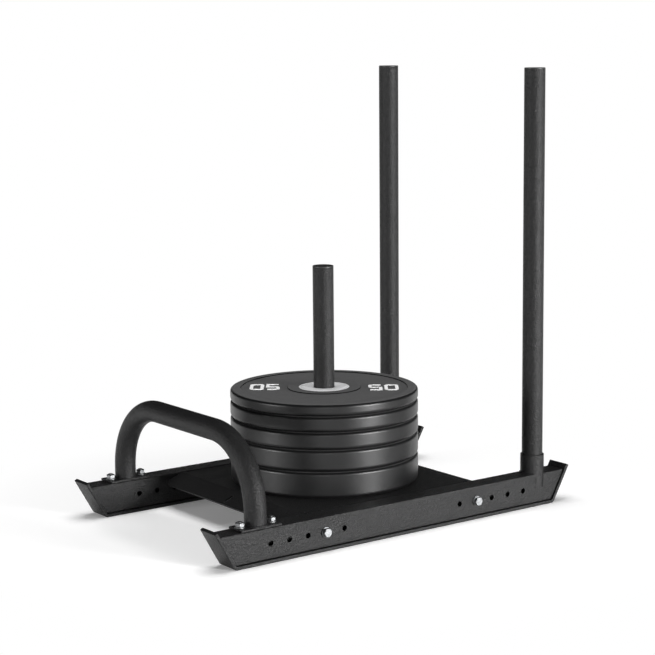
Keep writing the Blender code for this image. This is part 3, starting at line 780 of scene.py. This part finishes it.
def steel_material(name, base):
    """Turned steel: fine rings about the pin's axis."""
    material, tree, shader = new_material(name)
    place = object_place(tree)
    inputs = {"W": axis_distance(tree, place), "Scale": 900.0, "Detail": 3.0}
    rings = node(tree, "ShaderNodeTexNoise", inputs, noise_dimensions="1D").outputs["Fac"]
    cloud = noise(tree, place, scale=90.0, detail=3.0)
    tinted = scaled(tree, tuple(base), spread(tree, rings, 0.90, 1.06))
    dress(tree, shader, tinted, spread(tree, cloud, 0.55, 0.64), ((rings, 0.0002, 0.20),), Metallic=0.40)
    return material


@functools.cache
def material_for(look):
    """The material of a look, made on first use."""
    finish = bpy.context.scene.sled_finish
    if look == "powder_coat":
        return coat_material("coat_frame", finish.coat, finish.coat_roughness, specular=0.22, grain=1.00)
    if look == "pan_coat":
        return coat_material("coat_pan", finish.pan, finish.pan_roughness, specular=0.25, grain=0.20)
    if look == "rubber":
        return rubber_material("rubber_moulded", finish.rubber, finish.rubber_side_shade)
    if look == "hub_steel":
        return steel_material("steel_turned", finish.steel)
    if look == "zinc":
        return mottled_material(
            "zinc_plated", finish.zinc, scale=330.0, detail=3.0, tone=(0.65, 1.25), gloss=(0.40, 0.58),
            bump=(0.0010, 0.50), metallic=1.0,
        )
    if look == "cap_plastic":
        return mottled_material(
            "plastic_moulded", finish.plastic, scale=1600.0, detail=2.0, tone=(0.90, 1.10),
            gloss=(0.42, 0.52), bump=(0.0003, 0.25),
        )
    return mottled_material(
        "paint_number", finish.number, scale=260.0, detail=4.0, tone=(0.86, 1.08), gloss=(0.42, 0.56),
        bump=(0.0002, 0.20),
    )


# Runners, skids and sockets


def flat_end_x(sizes):
    """Where the skid's flat stretch would end, with sharp bends."""
    top = high("left_skid")
    return top.x - top.z / tan(sizes.skid_angle)


def slope_x(sizes, height, depth):
    """Where a plane at this depth inside the turned-up end's outer face is, at this height."""
    return flat_end_x(sizes) + height / tan(sizes.skid_angle) - depth / sin(sizes.skid_angle)


def skid_half(sizes):
    """Outer and inner points of one half of the bar's side view, from its tip to its middle."""
    tip_z = high("left_skid").z
    tip = Vector((slope_x(sizes, tip_z, 0), tip_z))
    across = Vector((-sin(sizes.skid_angle), cos(sizes.skid_angle)))
    pairs = [(tip, tip + across * sizes.skid_thickness)]
    outer_bend = sizes.skid_bend + sizes.skid_thickness
    centre = Vector((flat_end_x(sizes) - outer_bend * tan(sizes.skid_angle / 2), outer_bend))
    steps = ceil(sizes.skid_angle / BEND_FACET)
    for step in range(steps + 1):
        turn = sizes.skid_angle * (1 - step / steps) - pi / 2
        arm = Vector((cos(turn), sin(turn)))
        pairs.append((centre + arm * outer_bend, centre + arm * sizes.skid_bend))
    return pairs


def skid_mesh(sizes, y):
    """The bent flat bar, with round edges along both sides."""
    half = skid_half(sizes)
    mirrored = [[Vector((-point.x, point.y)) for point in pair] for pair in reversed(half)]
    edge = sizes.skid_edge
    width = half_width("left_skid") - edge
    turns = [pi / 2 * step / EDGE_STEPS for step in range(EDGE_STEPS + 1)]
    rounds = [(width + edge * sin(turn), 1 - cos(turn)) for turn in turns]
    rows = []
    for outer, inner in half + mirrored:
        across = (inner - outer).normalized() * edge
        row = [(reach, inner - across * drop) for reach, drop in rounds]
        row += [(reach, outer + across * drop) for reach, drop in reversed(rounds)]
        row += [(-reach, point) for reach, point in reversed(row)]
        rows.append([(point.x, y + reach, point.y) for reach, point in row])
    return swept(rows)


def stud_holes(sizes, side, level, depth):
    """Cutters for the stud holes of one side, round a level."""
    places = [middle(f"{side}_handle_{end}_stud") for end in ENDS]
    reach = 2 * (depth + CUT_MARGIN)
    return [cylinder((at.x, at.y, level), sizes.hole_radius, reach, steps=HOLE_STEPS) for at in places]


def runner_mesh(sizes, side):
    """The box tube with slanted ends, its hole rows, stud holes and socket notch."""
    name = f"{side}_runner"
    bottom, top = low(name).z, high(name).z
    y, level = middle(name).y, (bottom + top) / 2
    half, rise = half_width(name), (top - bottom) / 2

    def end_x(height):
        flat = slope_x(sizes, bottom, bottom) - sizes.tube_end_chamfer
        lean = (1 + cos(sizes.skid_angle)) / sin(sizes.skid_angle)
        return min(slope_x(sizes, height, bottom), flat + (height - bottom) * lean)

    def loops(inset, radius):
        outline = [(u, level + v) for u, v in rectangle(half - inset, rise - inset, radius)]
        return [[bm.verts.new((end * end_x(z), y + u, z)) for u, z in outline] for end in (-1, 1)]

    bm = bmesh.new()
    outer = loops(0, sizes.tube_corner)
    inner = loops(sizes.tube_wall, sizes.tube_inner_corner)
    for row, follower in (outer, inner, *zip(outer, inner)):
        bridge(bm, row, follower)
    tube = mesh_from(bm)
    socket = f"{side}_pole_socket"
    notch_low, notch_high = low(socket).z - SEAM, high(socket).z + SEAM
    notch_centre = (middle(socket).x, y, (notch_low + notch_high) / 2)
    cutters = [cylinder(notch_centre, half_width(socket) + SEAM, notch_high - notch_low)]
    for end in (-1, 1):
        values = {
            "Count": sizes.holes_per_row,
            "Start": (end * (flat_end_x(sizes) - sizes.hole_setback), y, level),
            "Step": (-end * sizes.hole_pitch, 0, 0),
            "Radius": sizes.hole_radius,
            "Reach": 2 * half + 2 * CUT_MARGIN,
        }
        cutters.append(grown(bpy.data.meshes.new("start"), hole_row_tree(), values))
    cutters += stud_holes(sizes, side, top, sizes.tube_wall)
    return cut(tube, cutters, sizes.cut_edge)


class SLED_OT_runners(bpy.types.Operator):
    """Make the box-tube runners"""

    bl_idname = "sled.runners"
    bl_label = "Runners"

    def execute(self, context):
        for side, _ in SIDES:
            mesh = runner_mesh(context.scene.sled_runner, side)
            piece(f"{side}_runner_tube", mesh, "powder_coat", [f"{side}_runner"])
        return {"FINISHED"}


class SLED_OT_skids(bpy.types.Operator):
    """Make the bent flat bars under the runners"""

    bl_idname = "sled.skids"
    bl_label = "Skids"

    def execute(self, context):
        for side, _ in SIDES:
            mesh = skid_mesh(context.scene.sled_runner, middle(f"{side}_skid").y)
            piece(f"{side}_skid_bar", mesh, "powder_coat", [f"{side}_skid"])
        return {"FINISHED"}


class SLED_OT_sockets(bpy.types.Operator):
    """Make the sockets that hold the push poles, with the weld beads on the runners"""

    bl_idname = "sled.sockets"
    bl_label = "Sockets"

    def execute(self, context):
        sizes = context.scene.sled_runner
        tube = context.scene.sled_tube
        for side, _ in SIDES:
            name = f"{side}_pole_socket"
            pole = f"{side}_push_pole"
            axis, bottom, height = middle(name), low(name).z, span(name, Z)
            outer = half_width(name)
            bore = half_width(pole) + (low(pole).z - bottom - sizes.socket_floor)
            edge, floor = sizes.socket_edge, sizes.socket_floor
            corners = [(0, floor, 0), (bore, floor, 0), (bore, height, edge), (outer, height, edge)]
            profile = filleted([*corners, (outer, 0, edge), (0, 0, 0)])
            mesh = lathe(profile, (axis.x, axis.y, bottom))
            piece(f"{side}_socket_sleeve", mesh, "powder_coat", [name])
            centre = (axis.x, axis.y, high(f"{side}_runner").z)
            reach = asin((half_width(f"{side}_runner") - tube.bead_radius) / outer)
            beads = []
            for start in (-reach, pi - reach):
                arc = arc_points(centre, outer, start, 2 * reach, WELD_STEPS // 2)
                beads.append(weld(tube, path_mesh(arc)))
            piece(f"{side}_socket_weld", merged(beads), "powder_coat")
        return {"FINISHED"}


# Poles, handle and pin


def make_cap(sizes, name, tube, bore, body, piece_name):
    """The plug cap of a tube. Its domed head lies on the tube's end."""
    axis, tube_top = middle(tube), high(tube).z
    head, head_top = half_width(tube), high(name).z - tube_top
    skirt = tube_top - low(name).z
    outer = bore - SEAM
    inner = outer - sizes.cap_wall
    dome = [(0, head_top, 0), (head, head_top, sizes.cap_edge), (head, SEAM, 0), (outer, SEAM, 0)]
    plug = [(outer, -skirt, 0), (inner, -skirt, 0), (inner, SEAM, 0), (0, SEAM, 0)]
    mesh = lathe(filleted(dome + plug), (axis.x, axis.y, tube_top))
    piece(piece_name, mesh, "cap_plastic", [name], body)


class SLED_OT_poles(bpy.types.Operator):
    """Make the push poles and their plug caps"""

    bl_idname = "sled.poles"
    bl_label = "Push poles"

    def execute(self, context):
        sizes = context.scene.sled_tube
        for side, _ in SIDES:
            name = f"{side}_push_pole"
            body = f"{side}_pole"
            axis, outer = middle(name), half_width(name)
            inner = outer - sizes.tube_wall
            bottom, top = low(name).z, high(name).z
            corners = ((outer, top), (outer, bottom), (inner, bottom), (inner, top))
            profile = filleted([(*corner, sizes.tube_edge) for corner in corners])
            mesh = lathe(profile, (axis.x, axis.y, 0))
            piece(f"{side}_pole_tube", mesh, "powder_coat", [name], body)
            make_cap(sizes, f"{side}_pole_cap", name, inner, body, f"{side}_pole_plug")
        return {"FINISHED"}


class SLED_OT_handle(bpy.types.Operator):
    """Make the low handle, its feet and the weld beads between them"""

    bl_idname = "sled.handle"
    bl_label = "Low handle"

    def execute(self, context):
        sizes = context.scene.sled_tube
        bottom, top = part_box("low_handle")
        x, radius = (bottom.x + top.x) / 2, (top.x - bottom.x) / 2
        side_y = middle("right_handle_foot").y
        axis_top = top.z - radius
        bends = [(sign * side_y, axis_top, sizes.handle_bend) for _, sign in SIDES]
        path = [(-side_y, bottom.z, 0), *bends, (side_y, bottom.z, 0)]
        points = [(x, y, z) for y, z in filleted(path, HANDLE_FACET, HANDLE_SUPPORT)]
        tube = grown(path_mesh(points), tube_tree(material_for("powder_coat")), {"Radius": radius})
        piece("handle_tube", smooth(tube), "powder_coat", ["low_handle"])
        for side, sign in SIDES:
            name = f"{side}_handle_foot"
            foot_low, foot_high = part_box(name)
            holes = stud_holes(context.scene.sled_runner, side, foot_high.z, foot_high.z - foot_low.z)
            foot = cut(block(foot_low, foot_high), holes, sizes.foot_edge)
            piece(f"{side}_foot_plate", foot, "powder_coat", [name])
            circle = arc_points((x, sign * side_y, foot_high.z), radius)[:-1]
            piece(f"{side}_foot_weld", weld(sizes, path_mesh(circle, closed=True)), "powder_coat")
        return {"FINISHED"}


class SLED_OT_pin(bpy.types.Operator):
    """Make the weight pin, its cap and its base plate"""

    bl_idname = "sled.pin"
    bl_label = "Weight pin"

    def execute(self, context):
        sizes = context.scene.sled_tube
        outer = half_width("weight_pin")
        inner = outer - PIN_WALL
        bottom, top = low("weight_pin").z, high("weight_pin").z
        edge, plug_top = sizes.tube_edge, bottom + PIN_PLUG
        outside = [(outer, top, edge), (outer, bottom, edge), (PIN_THREAD, bottom, 0)]
        inside = [(PIN_THREAD, plug_top, 0), (inner, plug_top, 0), (inner, top, edge)]
        piece("pin_tube", lathe(filleted(outside + inside)), "powder_coat", ["weight_pin"])
        make_cap(sizes, "pin_cap", "weight_pin", inner, FRAME_BODY, "pin_plug")
        base_low, base_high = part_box("pin_base_plate")
        depth = 2 * (base_high.z - base_low.z + CUT_MARGIN)
        hole = cylinder((0, 0, base_high.z), PIN_BOLT_HOLE, depth)
        base = cut(block(base_low, base_high), [hole], sizes.foot_edge)
        piece("pin_base", base, "pan_coat", ["pin_base_plate"])
        return {"FINISHED"}


# Pan


def fold(bm, edge, outward, bend_radius, turn, flap, clip=0.0):
    """Adds a flap to an open edge: a bend down through this angle, then a straight stretch. The flap is
    measured from where the two flat sides would meet. Its corners can be clipped."""
    start, end = (vert.co.copy() for vert in edge)
    along = (end - start).normalized()
    steps = max(2, round(turn / BEND_FACET))
    rows = []
    for step in range(1, steps + 1):
        bent = turn * step / steps
        rows.append((bend_radius * sin(bent), bend_radius * (1 - cos(bent)), 0.0))
    across, down, _ = rows[-1]
    straight = flap - bend_radius * tan(turn / 2)
    stretches = [(SUPPORT, 0.0), (straight - clip, 0.0)]
    if clip:
        stretches.append((straight, clip))
    for stretch, inset in stretches:
        rows.append((across + stretch * cos(turn), down + stretch * sin(turn), inset))
    row = edge
    for reach, drop, inset in rows:
        shift = outward * reach - Vector((0, 0, drop))
        ends = (start + shift + along * inset, end + shift - along * inset)
        following = [bm.verts.new(point) for point in ends]
        bm.faces.new((row[0], row[1], following[1], following[0]))
        row = following


def pan_mesh(scene):
    """The folded sheet: its upper side first, then its thickness, its holes and its edges."""
    sizes = scene.sled_pan
    top = high("base_pan").z
    half_y = half_width("base_pan")
    bolt = middle("right_pan_rear_bolt")
    fold_x = bolt.x + sizes.end_margin
    flat_x = fold_x - sizes.lip_bend * tan(sizes.lip_angle / 2)
    tab_x = flat_x - sizes.tab_length
    flange_x = tab_x - sizes.relief_width
    flat_y = half_y - sizes.flange_bend
    relief_y = flat_y - sizes.relief_depth
    tab = [(flat_x, half_y), (tab_x, half_y), (tab_x, relief_y)]
    quarter = [*tab, (flange_x, relief_y), (flange_x, flat_y)]
    half = quarter + [(-x, y) for x, y in reversed(quarter)]
    bm = bmesh.new()
    verts = [bm.verts.new((x, y, top)) for x, y in half]
    verts += [bm.verts.new((-x, -y, top)) for x, y in half]
    bm.faces.new(verts)
    lip = (sizes.lip_bend, sizes.lip_angle, sizes.lip_length, sizes.lip_clip)
    flange = (sizes.flange_bend, pi / 2, top - low("base_pan").z)
    folds = (
        (len(half) - 1, (-1, 0, 0), lip),
        (2 * len(half) - 1, (1, 0, 0), lip),
        (len(quarter) - 1, (0, 1, 0), flange),
        (len(quarter) + len(half) - 1, (0, -1, 0), flange),
    )
    for corner, outward, bend in folds:
        fold(bm, (verts[corner], verts[(corner + 1) % len(verts)]), Vector(outward), *bend)
    sheet = linked("helper", mesh_from(bm))
    wall = sheet.modifiers.new("Wall", "SOLIDIFY")
    configured(wall, thickness=sizes.thickness, offset=-1, use_even_offset=True)
    reach = 2 * (half_y + CUT_MARGIN)
    radius = scene.sled_runner.hole_radius
    holes = [cylinder((sign * bolt.x, 0, bolt.z), radius, reach, (0, 1, 0), HOLE_STEPS) for sign in (-1, 1)]
    depth = 2 * (sizes.thickness + CUT_MARGIN)
    holes.append(cylinder((0, 0, top), half_width("weight_pin") + SEAM, depth))
    holes.append(slot_cutter(sizes, fold_x, top))
    return cut(evaluated(sheet), holes, sizes.sheet_edge)


def slot_cutter(sizes, fold_x, top):
    """A round-ended bar that cuts the tow slot square through the front lip."""
    half, reach = sizes.slot_width / 2, sizes.slot_length / 2
    outline = rectangle(reach, half, half * FULL_ROUND, support=0)
    depth = sizes.thickness + CUT_MARGIN
    bar = swept([[(x, y, level) for x, y in outline] for level in (-depth, depth)])
    centre = sizes.lip_length - sizes.slot_edge - reach
    x = -fold_x - centre * cos(sizes.lip_angle)
    z = top - centre * sin(sizes.lip_angle)
    bar.transform(Matrix.Translation((x, 0, z)) @ Matrix.Rotation(-sizes.lip_angle, 4, "Y"))
    return bar


class SLED_OT_pan(bpy.types.Operator):
    """Make the folded pan"""

    bl_idname = "sled.pan"
    bl_label = "Pan"

    def execute(self, context):
        piece("pan_sheet", pan_mesh(context.scene), "pan_coat", ["base_pan"])
        return {"FINISHED"}


# Fasteners


def hex_mesh(sizes, radius, height, bore=0.0, both=True):
    """A hexagon standing on its origin, chamfered above, and below too with both. With a bore it is a
    nut."""
    steps = HEX_SIDES * STEPS_PER_FLAT
    start = radius * sizes.chamfer_start
    slope = tan(sizes.hex_chamfer)
    flat = 2 * pi / HEX_SIDES

    def row(kind, level, direction):
        points = []
        for step in range(steps):
            within = 2 * pi * step / steps % flat - flat / 2
            reach = {"hex": radius / cos(within), "round": start, "bore": bore}[kind]
            drop = (reach - start) * slope if kind == "hex" else 0.0
            points.append((reach, level - direction * drop))
        return round_row(points)

    rows = [row("round", 0.0, -1), row("hex", 0.0, -1 if both else 0)]
    rows += [row("hex", height, 1), row("round", height, 1)]
    if bore:
        rows = [row("bore", 0.0, -1), *rows, row("bore", height, 1)]
    return swept(rows, ring=bool(bore), sharp=HEX_SHARP)


def threaded_mesh(sizes, radius, bottom, top):
    """A threaded rod between two levels, its upper end chamfered."""
    count = ceil((top - bottom) / sizes.thread_pitch * THREAD_ROWS_PER_TURN)
    rows = []
    for number in range(count + 1):
        level = bottom + (top - bottom) * number / count
        row = []
        for step in range(THREAD_STEPS):
            phase = (level / sizes.thread_pitch - step / THREAD_STEPS) % 1.0
            reach = radius - sizes.thread_depth * abs(2 * phase - 1)
            row.append((min(reach, radius - sizes.thread_depth + (top - level)), level))
        rows.append(round_row(row))
    return swept(rows)


def washer_mesh(sizes, name, inner, axis=Z):
    """A washer as wide and as thick as its CAD node, which lies across this axis."""
    outer, thickness, edge = span(name, X) / 2, span(name, axis), sizes.washer_edge
    corners = [(outer, thickness, edge), (outer, 0, edge)]
    corners += [(inner, 0, edge / 2), (inner, thickness, edge / 2)]
    return lathe(filleted(corners, support=0), steps=WASHER_STEPS)


def hex_radius(name):
    """Half the width across flats, from a standing or lying hexagon's box."""
    return min(span(name, X), max(span(name, Y), span(name, Z))) / 2


def stand(label, turn, part):
    """Where a part stands: the middle of the face that it points away from. With no turn it points up."""
    name = f"{label}_{part}"
    place = middle(name)
    if turn:
        place.y = low(name).y if turn < 0 else high(name).y
    else:
        place.z = low(name).z
    return place, turn


def make_set(name, mesh, labels, *parts):
    """Copies of one mesh in place of the CAD's parts of these kinds, as one piece."""
    places = [stand(label, turn, part) for part in parts for label, turn in labels]
    nodes = [f"{label}_{part}" for label, _ in labels for part in parts]
    piece(name, scattered(name, mesh, places, material_for("zinc")), "zinc", nodes)


def make_studs(sizes, labels, hole):
    """The welded studs with their washers and nuts, on the handle's feet."""
    stud, nut, washer = (f"{labels[0][0]}_{part}" for part in ("stud", "nut", "washer"))
    shaft = threaded_mesh(sizes, STUD_RADIUS, 0.0, span(stud, Z))
    radius = span(stud, X) / 2
    corners = [(0, STUD_HEAD, 0), (radius, STUD_HEAD, STUD_EDGE), (radius, 0, STUD_EDGE), (0, 0, 0)]
    head = lathe(filleted(corners), steps=WASHER_STEPS)
    make_set("handle_studs", merged([shaft, head]), labels, "stud")
    mesh = hex_mesh(sizes, hex_radius(nut), span(nut, Z), STUD_RADIUS + NUT_PLAY)
    make_set("handle_nuts", mesh, labels, "nut")
    make_set("handle_washers", washer_mesh(sizes, washer, hole), labels, "washer")


def make_bolts(sizes, labels, hole):
    """The bolts that hold the pan, with their washers and nuts."""
    bolt, nut, washer = (f"{labels[0][0]}_{part}" for part in ("bolt", "nut", "outer_washer"))
    head_height = 2 * STUD_RADIUS * HEAD_SHARE
    head = hex_mesh(sizes, hex_radius(bolt), head_height, both=False)
    head.transform(Matrix.Rotation(pi, 4, "X"))
    head.transform(Matrix.Translation((0, 0, head_height)))
    shank = threaded_mesh(sizes, STUD_RADIUS, head_height / 2, span(bolt, Y))
    make_set("pan_bolts", merged([head, shank]), labels, "bolt")
    mesh = hex_mesh(sizes, hex_radius(nut), span(nut, Y), STUD_RADIUS + NUT_PLAY)
    make_set("pan_nuts", mesh, labels, "nut")
    mesh = washer_mesh(sizes, washer, hole, Y)
    make_set("pan_washers", mesh, labels, "outer_washer", "inner_washer")


def make_pin_bolt(sizes):
    """The bolt and washer under the pin."""
    head_height = 2 * PIN_BOLT_RADIUS * HEAD_SHARE
    head = hex_mesh(sizes, hex_radius("pin_bolt"), head_height)
    shank = threaded_mesh(sizes, PIN_BOLT_RADIUS, head_height / 2, span("pin_bolt", Z))
    washer = washer_mesh(sizes, "pin_washer", PIN_BOLT_HOLE)
    for name, mesh in (("pin_bolt", merged([head, shank])), ("pin_washer", washer)):
        mesh.transform(Matrix.Translation((0, 0, low(name).z)))
        piece(f"{name}_dressed", mesh, "zinc", [name])


class SLED_OT_fasteners(bpy.types.Operator):
    """Make the studs, bolts, nuts and washers"""

    bl_idname = "sled.fasteners"
    bl_label = "Fasteners"

    def execute(self, context):
        sizes = context.scene.sled_fastener
        hole = context.scene.sled_runner.hole_radius
        upright = [(f"{side}_handle_{end}", 0.0) for side, _ in SIDES for end in ENDS]
        lying = [(f"{side}_pan_{end}", sign * pi / 2) for side, sign in SIDES for end in ENDS]
        make_studs(sizes, upright, hole)
        make_bolts(sizes, lying, hole)
        make_pin_bolt(sizes)
        return {"FINISHED"}


# Bumper plates


def two_faced(half, bottom, top, between=()):
    """An outline with the same corners (radius, depth, round) on its upper and its lower face."""
    upper = [(radius, top - depth, edge) for radius, depth, edge in half]
    lower = [(radius, bottom + depth, edge) for radius, depth, edge in reversed(half)]
    return [*upper, *between, *lower]


def rubber_profile(sizes, bottom, top, outer, bore):
    """A rubber disc with a raised rim and boss on both faces."""
    rim = outer - sizes.rim_width
    boss, recess, flank, edge = sizes.boss_radius, sizes.recess, sizes.flank, sizes.soft_edge
    inside = [(bore, 0, 0), (boss, 0, edge), (boss + flank, recess, edge)]
    half = [*inside, (rim - flank, recess, edge), (rim, 0, edge)]
    rounds = ((outer, top, sizes.top_round), (outer, bottom, sizes.bottom_round))
    return filleted(two_faced(half, bottom, top, rounds))


def hub_profile(sizes, bottom, top, outer, bore):
    """The steel insert, with a turned groove near its outer edge on both faces."""
    chamfer, groove = sizes.hub_chamfer, sizes.hub_groove
    outside = outer - GROOVE_SETBACK * groove
    inside = outside - GROOVE_WIDTH * groove
    half = [(bore, chamfer, 0), (bore + chamfer, 0, HUB_EDGE), (inside, 0, 0), (inside + groove, groove, 0)]
    half += [(outside - groove, groove, 0), (outside, 0, 0), (outer, 0, HUB_EDGE)]
    return filleted(two_faced(half, bottom, top), support=0)


def ribbon(points, width, closed, bottom, top):
    """A flat stroke of this width along a path, as a closed solid between two levels."""
    points = [Vector(point) for point in points]
    last = len(points) - 1
    rows = []
    for number, here in enumerate(points):
        ways = []
        if number or closed:
            ways.append((here - points[number - 1]).normalized())
        if number < last or closed:
            ways.append((points[(number + 1) % len(points)] - here).normalized())
        way = sum(ways, Vector((0, 0))).normalized()
        across = Vector((-way.y, way.x)) * (width / 2 / max(MITRE_LIMIT, way.dot(ways[0])))
        left, right = here + across, here - across
        corners = ((left, bottom), (right, bottom), (right, top), (left, top))
        rows.append([(point.x, point.y, level) for point, level in corners])
    return swept(rows, ring=closed)


def number_mesh(sizes, digits, bottom, top):
    """A number twice on a plate's face, on both sides of the pin, the second one turned round."""
    stroke = sizes.digit_stroke
    wide = sizes.digit_width - stroke
    tall = sizes.digit_height - stroke
    pitch = sizes.digit_width + sizes.digit_gap
    strokes = []
    for place, digit in enumerate(digits):
        shape, closed = STROKES[digit]
        left = (place - len(digits) / 2) * pitch + (sizes.digit_gap + stroke) / 2
        corners = [(left + x * wide, (y - 0.5) * tall, sizes.digit_round * bend) for x, y, bend in shape]
        path = filleted(corners, support=0)
        strokes.append(ribbon(path, stroke, closed, bottom, top))
    number = cut(merged(strokes), [], DIGIT_EDGE, DIGIT_BEVEL_ANGLE)
    both = [number.copy(), number]
    shift = Matrix.Translation((-sizes.digit_place, DIGIT_RISE, 0))
    for copy, turn in zip(both, (0.0, pi)):
        copy.transform(Matrix.Rotation(sizes.digit_turn + turn, 4, "Z") @ shift)
    return merged(both)


class SLED_OT_plates(bpy.types.Operator):
    """Make the bumper plates: rubber, steel hubs and numbers"""

    bl_idname = "sled.plates"
    bl_label = "Bumper plates"

    def execute(self, context):
        sizes = context.scene.sled_plate
        bore = half_width("weight_pin") + PLATE_PLAY
        for plate in PLATES:
            body = f"plate_{plate}"
            rubber, hub = f"{body}_rubber", f"{body}_hub"
            bottom, top = low(rubber).z, high(rubber).z
            hub_radius = half_width(hub)
            profile = rubber_profile(sizes, bottom, top, half_width(rubber), hub_radius + SEAM)
            piece(f"{body}_disc", lathe(profile, steps=PLATE_STEPS), "rubber", [rubber], body)
            profile = hub_profile(sizes, bottom, top, hub_radius, bore)
            piece(f"{body}_insert", lathe(profile, steps=PLATE_STEPS), "hub_steel", [hub], body)
            face = top - sizes.recess
            mesh = number_mesh(sizes, plate, face - SUNK, face + sizes.digit_relief)
            piece(f"{body}_number", mesh, "hub_steel", [], body, "number_paint")
        return {"FINISHED"}


# Stage


def mixed(tree, factor, one, two):
    """Two shaders mixed."""
    return node(tree, "ShaderNodeMixShader", {0: factor, 1: one, 2: two}).outputs[0]


def seen_rays(tree):
    """1 for camera, glossy and transmission rays, else 0, and 1 for camera rays."""
    path = node(tree, "ShaderNodeLightPath").outputs
    first = maths(tree, "MAXIMUM", path["Is Camera Ray"], path["Is Glossy Ray"])
    return maths(tree, "MAXIMUM", first, path["Is Transmission Ray"]), path["Is Camera Ray"]


def floor_material(settings):
    """A pale floor with its shadows. The camera and reflections see it brighter, and pure white further
    out. From below it is clear."""
    material, tree, _ = new_material("floor_pale")
    tree.nodes.clear()
    seen, _ = seen_rays(tree)
    distance = measured(tree, object_place(tree))
    outer = ranged(
        tree, distance, settings.floor_near, settings.floor_far, 0.0, 1.0, interpolation_type="SMOOTHSTEP"
    )
    lit, bounce = (
        node(tree, "ShaderNodeBsdfDiffuse", {"Color": (*shade, 1.0)}).outputs[0]
        for shade in (settings.floor, settings.floor_bounce)
    )
    glow, white = (
        node(tree, "ShaderNodeEmission", {"Strength": strength}).outputs[0]
        for strength in (settings.floor_lift, 1.0)
    )
    near = node(tree, "ShaderNodeAddShader", {0: lit, 1: glow}).outputs[0]
    upper = mixed(tree, seen, bounce, mixed(tree, outer, near, white))
    below = node(tree, "ShaderNodeNewGeometry").outputs["Backfacing"]
    clear = node(tree, "ShaderNodeBsdfTransparent").outputs[0]
    node(tree, "ShaderNodeOutputMaterial", {"Surface": mixed(tree, below, upper, clear)})
    return material


def make_world(settings):
    """Dim grey light all round. The camera sees white, and reflections see it near the floor."""
    world = bpy.data.worlds.new("studio")
    world.use_nodes = True
    tree = world.node_tree
    tree.nodes.clear()
    seen, by_camera = seen_rays(tree)
    way = node(tree, "ShaderNodeTexCoord").outputs["Generated"]
    below = maths(tree, "LESS_THAN", component(tree, way, Z), BACKDROP_TOP)
    shown = maths(tree, "MAXIMUM", maths(tree, "MULTIPLY", seen, below), by_camera)
    grey, white = (
        node(tree, "ShaderNodeBackground", {"Color": (1, 1, 1, 1), "Strength": strength}).outputs[0]
        for strength in (settings.ambient, 1.0)
    )
    node(tree, "ShaderNodeOutputWorld", {"Surface": mixed(tree, shown, grey, white)})
    bpy.context.scene.world = world


def make_camera(settings):
    """The camera, level apart from a tilt and a slight roll."""
    data = bpy.data.cameras.new("camera")
    configured(data, lens=settings.lens, sensor_width=SENSOR_WIDTH, shift_y=settings.camera_shift)
    turn = Matrix.Rotation(settings.camera_turn, 3, "Z")
    tilt = Matrix.Rotation(pi / 2 + settings.camera_tilt, 3, "X")
    roll = Matrix.Rotation(settings.camera_roll, 3, "Z")
    facing = (turn @ tilt @ roll).to_euler()
    camera = configured(linked("camera", data), location=settings.camera_place, rotation_euler=facing)
    bpy.context.scene.camera = camera


class SLED_OT_stage(bpy.types.Operator):
    """Set the floor, the lamps, the world and the camera"""

    bl_idname = "sled.stage"
    bl_label = "Stage"

    def execute(self, context):
        settings = context.scene.sled_stage
        bm = bmesh.new()
        bmesh.ops.create_grid(bm, x_segments=1, y_segments=1, size=FLOOR_HALF)
        floor = linked("studio_floor", mesh_from(bm))
        floor.data.materials.append(floor_material(settings))
        make_world(settings)
        for name, power, place, target, (width, height), mirrored in SOFTBOXES:
            watts = getattr(settings, power)
            data = bpy.data.lights.new(name, "AREA")
            configured(data, shape="RECTANGLE", size=width, size_y=height, energy=watts)
            facing = (Vector(target) - Vector(place)).to_track_quat("-Z", "Y").to_euler()
            configured(linked(name, data), location=place, rotation_euler=facing, visible_glossy=mirrored)
        make_camera(settings)
        context.scene.view_settings.view_transform = "Standard"
        return {"FINISHED"}


OPERATORS = (
    SLED_OT_runners,
    SLED_OT_skids,
    SLED_OT_sockets,
    SLED_OT_poles,
    SLED_OT_handle,
    SLED_OT_pin,
    SLED_OT_pan,
    SLED_OT_fasteners,
    SLED_OT_plates,
    SLED_OT_stage,
)


class SLED_PT_panel(bpy.types.Panel):
    """Lists what the sled is made of"""

    bl_idname = "SLED_PT_panel"
    bl_label = "Weight sled"
    bl_space_type = "VIEW_3D"
    bl_region_type = "UI"
    bl_category = "Sled"

    def draw(self, context):
        for operator in OPERATORS:
            self.layout.operator(operator.bl_idname)
        for name, group in SETTINGS:
            box = self.layout.box()
            box.label(text=group.__doc__)
            for key in group.__annotations__:
                box.prop(getattr(context.scene, name), key)


def register():
    for name, group in SETTINGS:
        bpy.utils.register_class(group)
        setattr(bpy.types.Scene, name, PointerProperty(type=group))
    for cls in OPERATORS + (SLED_PT_panel,):
        bpy.utils.register_class(cls)


def unregister():
    for cls in reversed(OPERATORS + (SLED_PT_panel,)):
        bpy.utils.unregister_class(cls)
    for name, group in reversed(SETTINGS):
        delattr(bpy.types.Scene, name)
        bpy.utils.unregister_class(group)


def main():
    register()
    for operator in OPERATORS:
        group, action = operator.bl_idname.split(".")
        getattr(getattr(bpy.ops, group), action)()


if __name__ == "__main__":
    main()
